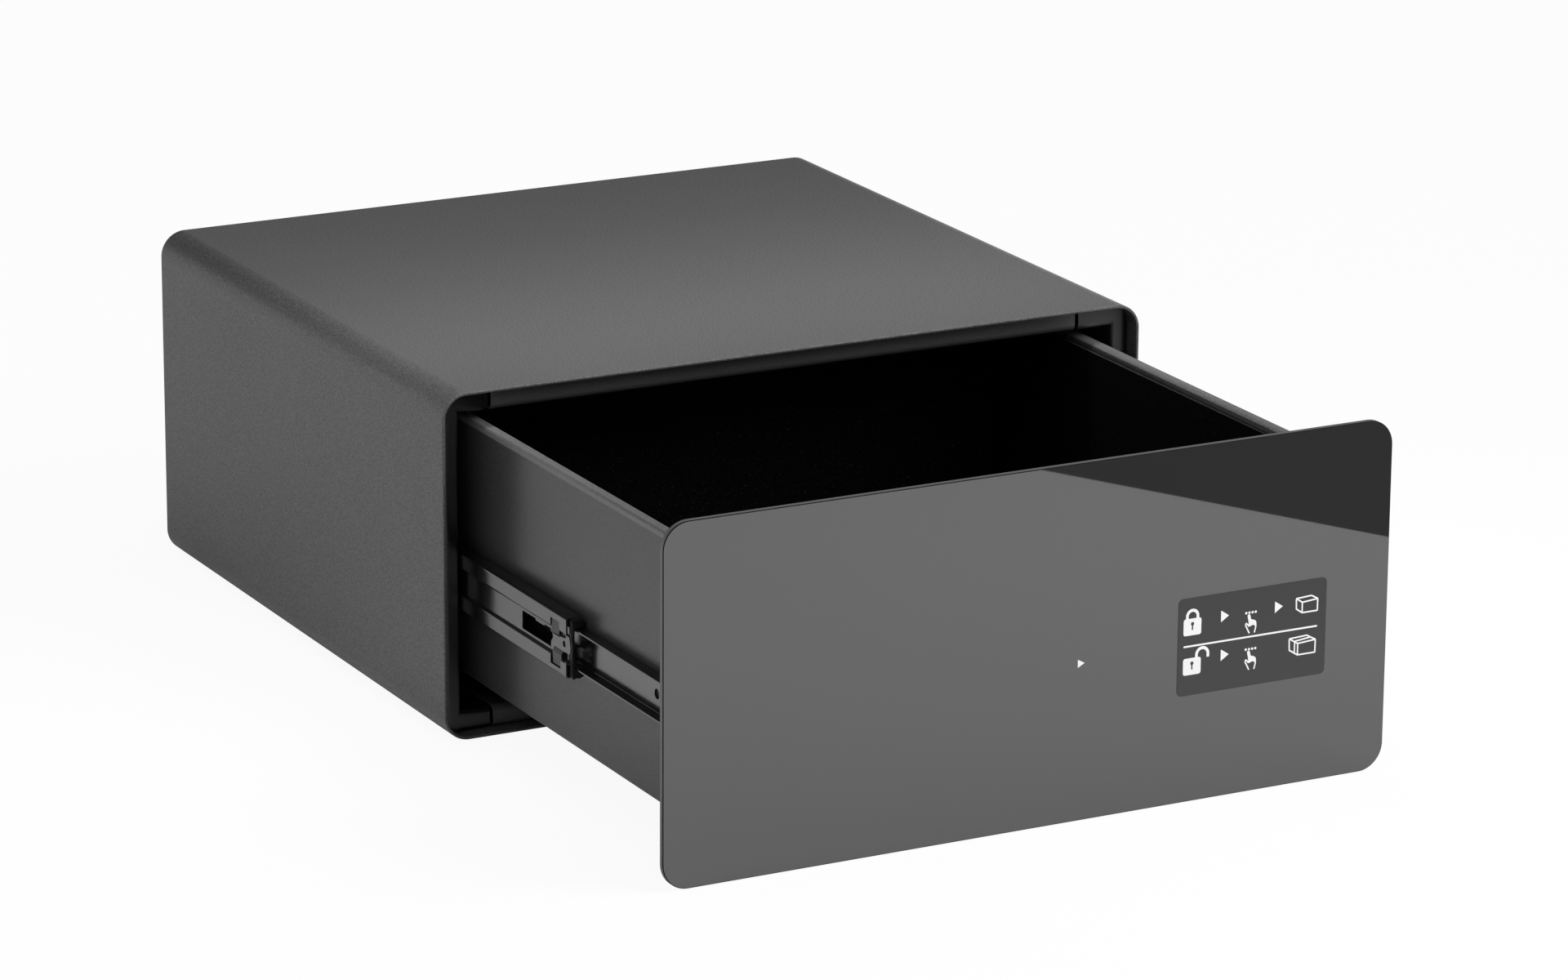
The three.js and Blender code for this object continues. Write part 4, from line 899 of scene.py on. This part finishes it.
def padlock(left, bottom, width, height, bow_left, bow_right, bow_top, far_end):
    """A filled lock body with a keyhole, and a round bow whose far end stops at a level of its own."""
    corner = 1.3
    middle = (bow_left + bow_right) / 2
    radius = (bow_right - bow_left) / 2
    bow = np.concatenate([[[bow_right, far_end]], arc(middle, bow_top - radius, radius, 0, 2 * QUARTER, 14),
                          [[bow_left, bottom + height - 0.5]]])
    body = rounded_outline(left, left + width, bottom, bottom + height, corner, 4)
    return [printed(body, keyhole(left + width / 2, bottom + height / 2)), drawn(bow, 1.7, 0)]


def moved(outline, x, z):
    """The same outline with its origin at a place on the label."""
    return np.asarray(outline, float) + [x, z]


def key_in(x, dots_z, hand_z):
    """Four dots in a row, and a pointing hand below them."""
    dots = [printed(circle(x + place, dots_z, 0.72, 16)) for place in CODE_DOTS]
    hand = printed(moved(smooth_through(FINGER, 4), x - 0.3, hand_z))
    return dots + [hand] + [drawn(moved(line, x - 0.3, hand_z), 0.8) for line in ARM_LINES]


def crate(x, z, width, height, slant, lift):
    """A box drawn in slanting lines: the front, the left side and the top."""
    front = [(x + slant, z), (x + width, z), (x + width + 0.1, z + height + 0.8), (x + slant, z + height)]
    side = [(x + 0.2, z + lift), (x, z + height + lift)]
    back = (x + width - slant, z + height + lift + 0.5)
    return [drawn(front), drawn([front[3], front[0]]), drawn([front[0], *side, front[3]]),
            drawn([side[1], back, front[2]])]


signs = padlock(91.3, 94.5, 11.1, 9.5, 93.5, 100.1, 108.6, 103.6)
signs += padlock(91.5, 72.2, 11.1, 9.5, 99.8, 107.0, 86.6, 81.0)
for x, z in ((114.7, 102.5), (148.7, 102.8), (115.1, 80.5)):
    signs.append(printed(moved(ARROW, x, z)))
signs += key_in(130.6, 102.1, 90.4) + key_in(130.9, 81.4, 69.7)
signs.append(printed(rounded_outline(91.5, 176.0, 87.95, 88.95, 0.4, 3)))
signs += crate(162.2, 97.3, 13.6, 5.9, 3.9, 2.6)
signs += crate(158.4, 73.6, 16.6, 6.5, 5.5, 3.4)
signs.append(drawn([(161.9, 75.0), (161.9, 81.6), (171.6, 82.6)]))
triangle = [(26.1, 91.0), (30.3, 88.7), (26.1, 86.4)]
signs.append(prism("ink", triangle, "Y", GLASS_FRONT - 0.05, GLASS_FRONT + 0.02))


def one_of(name, pieces):
    """One object that holds the meshes of several."""
    shell = bmesh.new()
    for piece in pieces:
        shell.from_mesh(piece.data)
        bpy.data.objects.remove(piece)
    mesh = bpy.data.meshes.new(name)
    shell.to_mesh(mesh)
    shell.free()
    return in_scene(name, mesh)


pictograms = one_of("label_pictograms", signs)
for face in pictograms.data.polygons:
    face.use_smooth = False
fitted(pictograms, "drawer", "printed_label", WHITE_INK)

# Felt lining: 1.5 mm black needle felt glued to the floor, the sides, the back and the front of the drawer.
# Pale lint shows in it, and its cut upper edges are ragged, with single fibres standing up.
FELT_TOP = 176.0
FELT_HALF = 187.0
FELT_BACK_TOP = 174.5
FELT_BACK = -94.1
FELT_FRONT = -429.0
FIBRE_STEP = 0.55
PAINTED_LIGHT_LEVEL = 0.17


def felt_group():
    """Needled fibre with lint. A fine noise mottles the colour and is the height, and where a second one
    passes a limit, a pale share of lint is mixed in. Faces that lie high and face up are paler still, as
    painted light on the felt's lit top edges."""
    group, given, result, place = effect_group(
        "needled_felt", {"Lint": 0.5, "Cut edge": 0.3, "Base roughness": 0.95})
    fibre = noise(group, place, 1500.0, 4.0)
    patch = noise(group, place, 45.0)
    speck = noise(group, place, 1300.0)
    over = placed(group, "ShaderNodeMapRange", {
        "Value": speck, "From Min": 0.66, "From Max": 0.78, "To Min": 0.0, "To Max": 1.0})
    strewn = worked(group, "MULTIPLY", over.outputs["Result"],
                    worked(group, "MULTIPLY", given.outputs["Lint"], patch))
    high = placed(group, "ShaderNodeSeparateXYZ", {0: place}).outputs["Z"]
    normal = placed(group, "ShaderNodeNewGeometry").outputs["Normal"]
    facing = placed(group, "ShaderNodeSeparateXYZ", {0: normal}).outputs["Z"]
    # Faces that lie high and face up are paler: painted light on the lit top edges.
    lit_top = worked(group, "MULTIPLY", worked(group, "GREATER_THAN", high, PAINTED_LIGHT_LEVEL),
                 worked(group, "GREATER_THAN", facing, 0.3))
    lint_and_painted_light = worked(group, "MULTIPLY_ADD", lit_top, given.outputs["Cut edge"], strewn)
    mottled = toned(group, given, varied_around_one(group, fibre, 0.8))
    pale = placed(group, "ShaderNodeMix", {
        "Factor": lint_and_painted_light, 6: mottled, 7: (0.2, 0.2, 0.2, 1.0)}, data_type="RGBA").outputs[2]
    return completed(group, given, result, pale, patch, 0.05, fibre)


# Its share of painted light on high, up-facing faces is 0.12.
FELT = finish_from_group(
    "black_needle_felt", felt_group(), grey(0.003), {"Lint": 0.9, "Cut edge": 0.12, "Base roughness": 0.95},
    0.2, Specular_IOR_Level=0.1)


def standing_fibres(name, start, end, lean_to, seed):
    """Fibres along an edge from start to end. Each is a thin three-sided cone of random length whose tip
    leans a random way, and lean_to is the direction across the edge."""
    start, end, lean_to = (np.array(value, float) for value in (start, end, lean_to))
    chance = np.random.default_rng(seed)
    count = int(np.linalg.norm(end - start) / FIBRE_STEP)
    along = (end - start) / np.linalg.norm(end - start)
    share = (np.arange(count) + chance.uniform(0, 1, count)) / count
    foot = start + share[:, None] * (end - start) + lean_to * chance.uniform(-0.6, 0.6, count)[:, None]
    length = chance.uniform(0.25, 1.0, count) ** 2 * 1.5
    lean_along = along * chance.normal(0, 0.45, count)[:, None]
    lean_across = lean_to * chance.normal(0, 0.3, count)[:, None]
    tip = foot + (lean_along + lean_across + [0, 0, 1]) * length[:, None]
    corner = [along * 0.09, along * -0.05 + lean_to * 0.08, along * -0.05 - lean_to * 0.08]
    points = np.stack([foot + c - [0, 0, 0.3] for c in corner] + [tip], 1)
    one = np.array([[0, 1, 3], [1, 2, 3], [2, 0, 3], [2, 1, 0]])
    faces = (np.arange(count)[:, None, None] * 4 + one[None]).reshape(-1, 3).tolist()
    return put_in_mesh(name, points, faces)


for node in ("felt_floor", "felt_left", "felt_right", "felt_back", "felt_front"):
    as_packed(node, 0.35, "drawer", "black_felt", FELT)
fibres = []
for word, side in SIDES:
    x = side * FELT_HALF
    fibres.append(standing_fibres("fibres", (x, FELT_FRONT + 1, FELT_TOP), (x, FELT_BACK - 2, FELT_TOP),
                                  (1, 0, 0), 3 + side))
fibres.append(standing_fibres("fibres", (-185, FELT_BACK, FELT_BACK_TOP), (185, FELT_BACK, FELT_BACK_TOP),
                              (0, 1, 0), 7))
fitted(one_of("felt_edge_fibres", fibres), "drawer", "black_felt", FELT)

# Lock housing: a folded cover over the lock behind the drawer front, with holes for the upper bolts and a
# window for the batteries.
HOUSING_TOP = 173.4
HOUSING_BACK = -430.6
HOUSING_HALF = 187.7
housing_section = [(-461.5, HOUSING_TOP), (HOUSING_BACK, HOUSING_TOP, 1.2), (HOUSING_BACK, 30.5)]
housing = folded("lock_cover", housing_section, TRAY_SHEET, "X", -HOUSING_HALF, HOUSING_HALF)
for x in (-BOLT_X, BOLT_X):
    punched(housing, circle(x, BOLT_Y, BOLT_HOLE), "Z", HOUSING_TOP - 3, HOUSING_TOP + 3)
joined(housing, bar("battery_window", (72.35, 173.65), (-434, -428), (85.15, 114.85)))
eased(housing, 0.2)
fitted(housing, "drawer", "drawer_powder_coat", DRAWER_COAT, "lock_housing")

# Batteries: four round cells in a moulded box behind the cover, which snaps into the housing's window. A
# sleeve is shrunk over each cell's shoulders and leaves the steel ends bare. The cover has grooves and a
# thumb notch.
CELL_RADIUS = 7.15
BARE_RADIUS = 6.1
SLEEVE = sprayed(
    "cell_sleeve", (0.26, 0.03, 0.02), grain=300, contrast=0.04, cloud=0.08, rough=0.35, depth=0.005)
as_packed("battery_box", 0.3, "drawer", "black_plastic", MOULDED_BLACK)
cover = bar("battery_cover_plate", (69.35, 176.65), (-429.7, -428.2), (82.15, 117.85))
for x in range(140, 165, 3):
    joined(cover, bar("grip_groove", (x, x + 1.4), (-428.7, -428), (91, 109)))
punched(cover, circle(176.65, 100, 6.5), "Y", -429.1, -428)
eased(cover, 0.25)
fitted(cover, "drawer", "black_plastic", MOULDED_BLACK, "battery_cover")
for row, way in (("lower", 1), ("upper", -1)):
    for word in ("left", "right"):
        low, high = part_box(f"battery_{row}_{word}")
        minus, plus = (low[0] / MM, high[0] / MM)[::way]
        middle_y, middle_z = (low[1] + high[1]) / 2, (low[2] + high[2]) / 2
        cell = turned(f"cell_{row}_{word}", [
            [0.05, minus], [6.1, minus], [6.2, minus + way * 0.3], [6.8, minus + way * 0.3],
            [CELL_RADIUS, minus + way * 0.9], [CELL_RADIUS, plus - way * 2.5], [6.8, plus - way * 1.8],
            [5.6, plus - way * 1.6], [5.5, plus - way * 1.8], [2.8, plus - way * 1.7],
            [2.75, plus - way * 0.2], [2.5, plus], [0.05, plus]], "X", (middle_y / MM, middle_z / MM), 40)
        eased(cell, 0.1)
        fitted(cell, "drawer", "battery_sleeve", SLEEVE, f"battery_{row}_{word}")
        cell.data.materials.append(BRIGHT_ZINC)
        for face in cell.data.polygons:
            off = math.hypot(face.center[1] - middle_y, face.center[2] - middle_z)
            face.material_index = int(off < BARE_RADIUS * MM)

# Boards: the touch board behind the glass and the control board on its stand-offs. Both are green laminate
# with printed tracks, three soldered chips and rows of small parts, and each has a connector for its cable.
BOARD_MIDDLES = {"touch": (28, -461.9), "control": (-160, -454.9)}
CHIP_ROWS = (78, 100, 122)
CHIP_LEGS = (-3, -1.5, 0, 1.5, 3)
PART_ROWS = (68, 89, 111, 132)
PART_COLUMNS = (-11, -6.5, -2, 2.5, 7)


def laminate_group():
    """Printed laminate. The joints of a brick pattern laid over the board's face are its tracks, paler and
    a little raised, and a noise mottles the rest."""
    group, given, result, place = effect_group("printed_laminate", {"Tracks": 0.8, "Base roughness": 0.35})
    axes = placed(group, "ShaderNodeSeparateXYZ", {0: place}).outputs
    flat = placed(group, "ShaderNodeCombineXYZ", {0: axes["X"], 1: axes["Z"]})
    tracks = placed(group, "ShaderNodeTexBrick", {
        "Vector": flat.outputs[0], "Scale": 60.0, "Mortar Size": 0.02, "Mortar Smooth": 0.2,
        "Brick Width": 0.7, "Row Height": 0.11}).outputs["Fac"]
    mottle = noise(group, place, 700.0)
    tone = worked(group, "MULTIPLY_ADD", tracks, given.outputs["Tracks"],
                  varied_around_one(group, mottle, 0.15))
    return completed(group, given, result, toned(group, given, tone), mottle, 0.1, tracks)


BOARD = finish_from_group(
    "green_board", laminate_group(), (0.012, 0.07, 0.03), {"Tracks": 0.8, "Base roughness": 0.35}, 0.04)
for word, (middle, top) in BOARD_MIDDLES.items():
    board = as_packed(f"{word}_board", 0.1, "drawer", "circuit_board", BOARD)
    board.data.materials.append(MOULDED_BLACK)
    board.data.materials.append(BRIGHT_ZINC)
    for face in board.data.polygons:
        depth = face.center[1] / MM - top
        face.material_index = 1 if depth > 0.1 else 2 if depth < -1.7 else 0
    legs = [bar("leg", (middle + side * 3.9, middle + side * 5.3), (top - 0.05, top + 0.5),
                (z + step - 0.3, z + step + 0.3))
            for z in CHIP_ROWS for _, side in SIDES for step in CHIP_LEGS]
    fitted(one_of(f"{word}_board_legs", legs), "drawer", "bright_zinc", BRIGHT_ZINC)
    small = [bar("part", (middle + x, middle + x + 2.2), (top - 0.05, top + 0.7), (z - 0.6, z + 0.6), 0.1)
             for z in PART_ROWS for x in PART_COLUMNS]
    plug = bar("connector", (middle + 12, middle + 18), (top - 0.05, top + 3.2), (88, 112))
    for z in range(90, 110, 4):
        joined(plug, bar("socket", (middle + 13.5, middle + 16.5), (top + 1.2, top + 4), (z, z + 2.4)))
    fitted(one_of(f"{word}_board_parts", [*small, plug]), "drawer", "black_plastic", MOULDED_BLACK)
capacitor = turned("capacitor", [
    [0.05, -454.95], [3.9, -454.95], [4, -454.6], [3.75, -454.1], [4, -453.6], [4, -449.9], [3.7, -449.5],
    [0.05, -449.5]], "Y", (-148, 127))
eased(capacitor, 0.15)
fitted(capacitor, "drawer", "black_plastic", MOULDED_BLACK)

# Motor and bolt work: a gear motor hangs on its bridge plate, which four screws hold, and turns a bronze
# pinion between two racks. The upper carriage lifts two bolts, the lower one drops two, in moulded guides.
BRONZE = sprayed(
    "sintered_bronze", (0.42, 0.25, 0.09), grain=2500, contrast=0.25, cloud=0.1, rough=0.4, depth=0.01,
    Metallic=1.0)
as_packed("motor_bridge", 0.2, "drawer", "bright_zinc", BRIGHT_ZINC)
as_packed("lock_motor", 0.3, "drawer", "bright_zinc", BRIGHT_ZINC)
motor_cap = turned("motor_cap", [
    [0.05, 59.5], [1.2, 59.5], [1.3, 60.2], [2.8, 60.4], [3, 60.7], [3, 60.98], [0.05, 60.98]],
    "Z", (-75, -451.8))
tabs = [bar("tab", (x - 0.3, x + 0.3), (-452.8, -450.8), (57.6, 60.98)) for x in (-79, -71)]
fitted(one_of("motor_terminals", [motor_cap, *tabs]), "drawer", "black_plastic", MOULDED_BLACK)
heads = []
for x in (-119, -31):
    for z in (78, 122):
        head = turned("head", [[0.05, -460.02], [2.9, -460.02], [2.9, -459.4], [2.4, -458.7], [1.3, -458.3],
                               [0.05, -458.3]], "Y", (x, z))
        for half_x, half_z in ((1.5, 0.35), (0.35, 1.5)):
            joined(head, bar("slot", (x - half_x, x + half_x), (-459.2, -458), (z - half_z, z + half_z)))
        heads.append(head)
fitted(one_of("bridge_screws", heads), "drawer", "bright_zinc", BRIGHT_ZINC)
as_packed("lock_pinion", 0.08, "pinion", "bronze", BRONZE)
for word, up in (("upper", 1), ("lower", -1)):
    as_packed(f"bolt_carriage_{word}", 0.15, f"{word}_bolts", "bright_zinc", BRIGHT_ZINC)
    as_packed(f"bolt_guide_{word}", 0.4, "drawer", "black_plastic", MOULDED_BLACK)
    for place in ("left", "right"):
        low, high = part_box(f"bolt_{word}_{place}")
        tail, tip = (low[2] / MM, high[2] / MM)[::up]
        bolt = turned(f"bolt_bar_{word}_{place}", [
            [0.1, tail], [4.6, tail], [5, tail + up * 0.4], [5, tip - up * 1.4], [4.9, tip - up * 1.1],
            [3.9, tip - up * 0.1], [3.7, tip], [0.1, tip]], "Z", ((low[0] + high[0]) / 2 / MM, BOLT_Y), 48)
        eased(bolt, 0.1)
        fitted(bolt, f"{word}_bolts", "bright_zinc", BRIGHT_ZINC, f"bolt_{word}_{place}")

# Studio: a plain pale floor and a white room with a dim ceiling, a long soft light overhead, a soft sun, and
# a soft light in front on each side. A dark card on the floor to the right, which only mirrors see, gives the
# glass its dark corner.
def seen_directly(tree):
    """Gives 1 for rays from the camera, from a mirror or through glass, and 0 for others. The second output
    is 1 for the camera's own rays alone."""
    seen = placed(tree, "ShaderNodeLightPath").outputs
    either = worked(tree, "MAXIMUM", seen["Is Camera Ray"], seen["Is Glossy Ray"])
    return worked(tree, "MAXIMUM", either, seen["Is Transmission Ray"]), seen["Is Camera Ray"]


def pale_floor(colour, glow_in_camera, glow_in_mirrors):
    """The floor's material lies between its own lit colour and plain white, nearer to white for the camera
    than for mirrors, so it keeps shadows."""
    material = bpy.data.materials.new("pale_floor")
    material.use_nodes = True
    tree = material.node_tree
    tree.nodes.clear()
    either, direct = seen_directly(tree)
    share = worked(tree, "MULTIPLY_ADD", direct, glow_in_camera - glow_in_mirrors,
                   worked(tree, "MULTIPLY", either, glow_in_mirrors))
    lit = placed(tree, "ShaderNodeBsdfDiffuse", {"Color": (colour, colour, colour, 1.0)})
    white = placed(tree, "ShaderNodeEmission", {"Color": (1.0, 1.0, 1.0, 1.0), "Strength": 1.0})
    both = placed(tree, "ShaderNodeMixShader", {0: share, 1: lit.outputs[0], 2: white.outputs[0]})
    tree.links.new(both.outputs[0], placed(tree, "ShaderNodeOutputMaterial").inputs["Surface"])
    return material


FLOOR_LEVEL = -0.5
FLOOR_HALF = 9000
CARD_LEFT = 339
CARD_OUTLINE = ((CARD_LEFT, -1053), (459, -829), (1900, -829), (1900, -2600), (CARD_LEFT, -2600))
floor_corners = rectangle((-FLOOR_HALF, FLOOR_HALF), (-FLOOR_HALF, FLOOR_HALF))
floor = put_in_mesh("floor", [(x, y, FLOOR_LEVEL) for x, y in floor_corners], [[0, 1, 2, 3]])
floor.data.materials.append(pale_floor(0.92, 0.93, 0.1))
card = put_in_mesh("dark_card", [(x, y, -FLOOR_LEVEL) for x, y in CARD_OUTLINE], [[0, 1, 2, 3, 4]])
matt_black = bpy.data.materials.new("dark_card")
matt_black.use_nodes = True
card_surface = matt_black.node_tree.nodes["Principled BSDF"].inputs
card_surface["Base Color"].default_value = (0.01, 0.01, 0.01, 1.0)
card_surface["Roughness"].default_value = 1.0
card.data.materials.append(matt_black)
card.visible_camera = False
card.visible_diffuse = False
card.visible_shadow = False

world = bpy.data.worlds.new("white_room")
bpy.context.scene.world = world
world.use_nodes = True
room = world.node_tree
room.nodes.clear()
either, direct = seen_directly(room)
height = placed(room, "ShaderNodeSeparateXYZ", {0: placed(room, "ShaderNodeTexCoord").outputs["Generated"]})
ceiling = placed(room, "ShaderNodeMapRange", {
    "Value": height.outputs["Z"], "From Min": 0.0, "From Max": 0.3, "To Min": 1.0, "To Max": 0.05},
    interpolation_type="SMOOTHSTEP")
mirrored = worked(room, "MAXIMUM", ceiling.outputs["Result"], direct)
ambient = worked(room, "MULTIPLY_ADD", either, -0.37, 0.37)
strength = worked(room, "MULTIPLY_ADD", either, mirrored, ambient)
sky = placed(room, "ShaderNodeBackground", {"Color": (1.0, 1.0, 1.0, 1.0), "Strength": strength})
room.links.new(sky.outputs[0], placed(room, "ShaderNodeOutputWorld").inputs["Surface"])


def stood(thing, place, right, away):
    """Puts a lamp or the camera at a place, with these directions to its right and behind it."""
    matrix = np.eye(4)
    matrix[:3, :3] = np.stack([right, np.cross(away, right), away], 1)
    matrix[:3, 3] = place
    thing.matrix_world = Matrix(matrix.tolist())


def soft_light(name, place, target, width, length, power, spread=180, in_mirrors=True):
    """A rectangular soft light at a place, turned to face a target, its width along X. A grid keeps its beam
    within the spread, in degrees. Mirrors show it only if in_mirrors is true."""
    light = bpy.data.lights.new(name, "AREA")
    light.shape = "RECTANGLE"
    light.size = width
    light.size_y = length
    light.energy = power
    light.spread = math.radians(spread)
    lamp = in_scene(name, light)
    away = np.array(place, float) - np.array(target, float)
    away /= np.linalg.norm(away)
    right = np.cross([0.0, 1.0, 0.1], away)
    stood(lamp, place, right / np.linalg.norm(right), away)
    lamp.visible_glossy = in_mirrors


soft_light("top_light", (0.0, -0.14, 0.65), (0.0, -0.11, 0), 0.7, 0.1, 0.6, 70)
soft_light("key_light", (0.45, -1.0, 0.95), (0.1, -0.4, 0.1), 0.7, 0.7, 6.0, in_mirrors=False)
soft_light("left_light", (-1.1, -0.5, 0.9), (-0.2, -0.1, 0.15), 0.7, 0.7, 1.5)
sun = bpy.data.lights.new("soft_sun", "SUN")
sun.energy = 1.5
sun.angle = math.radians(50)
in_scene("soft_sun", sun).rotation_euler = (math.radians(25), math.radians(45), 0)

CAMERA_PLACE = (-1.6416, -3.2910, 1.1648)
CAMERA_AZIMUTH = math.radians(27.830)
CAMERA_ELEVATION = math.radians(16.668)
CAMERA_ROLL = math.radians(0.368)
lens = bpy.data.cameras.new("photo_camera")
lens.sensor_width = 36
lens.lens = 148.72
camera = in_scene("photo_camera", lens)
forward = np.array([math.sin(CAMERA_AZIMUTH) * math.cos(CAMERA_ELEVATION),
                    math.cos(CAMERA_AZIMUTH) * math.cos(CAMERA_ELEVATION), -math.sin(CAMERA_ELEVATION)])
level_right = np.array([math.cos(CAMERA_AZIMUTH), -math.sin(CAMERA_AZIMUTH), 0.0])
level_up = np.cross(level_right, forward)
stood(camera, CAMERA_PLACE, math.cos(CAMERA_ROLL) * level_right + math.sin(CAMERA_ROLL) * level_up, -forward)
bpy.context.scene.camera = camera
bpy.context.scene.view_settings.view_transform = "Standard"
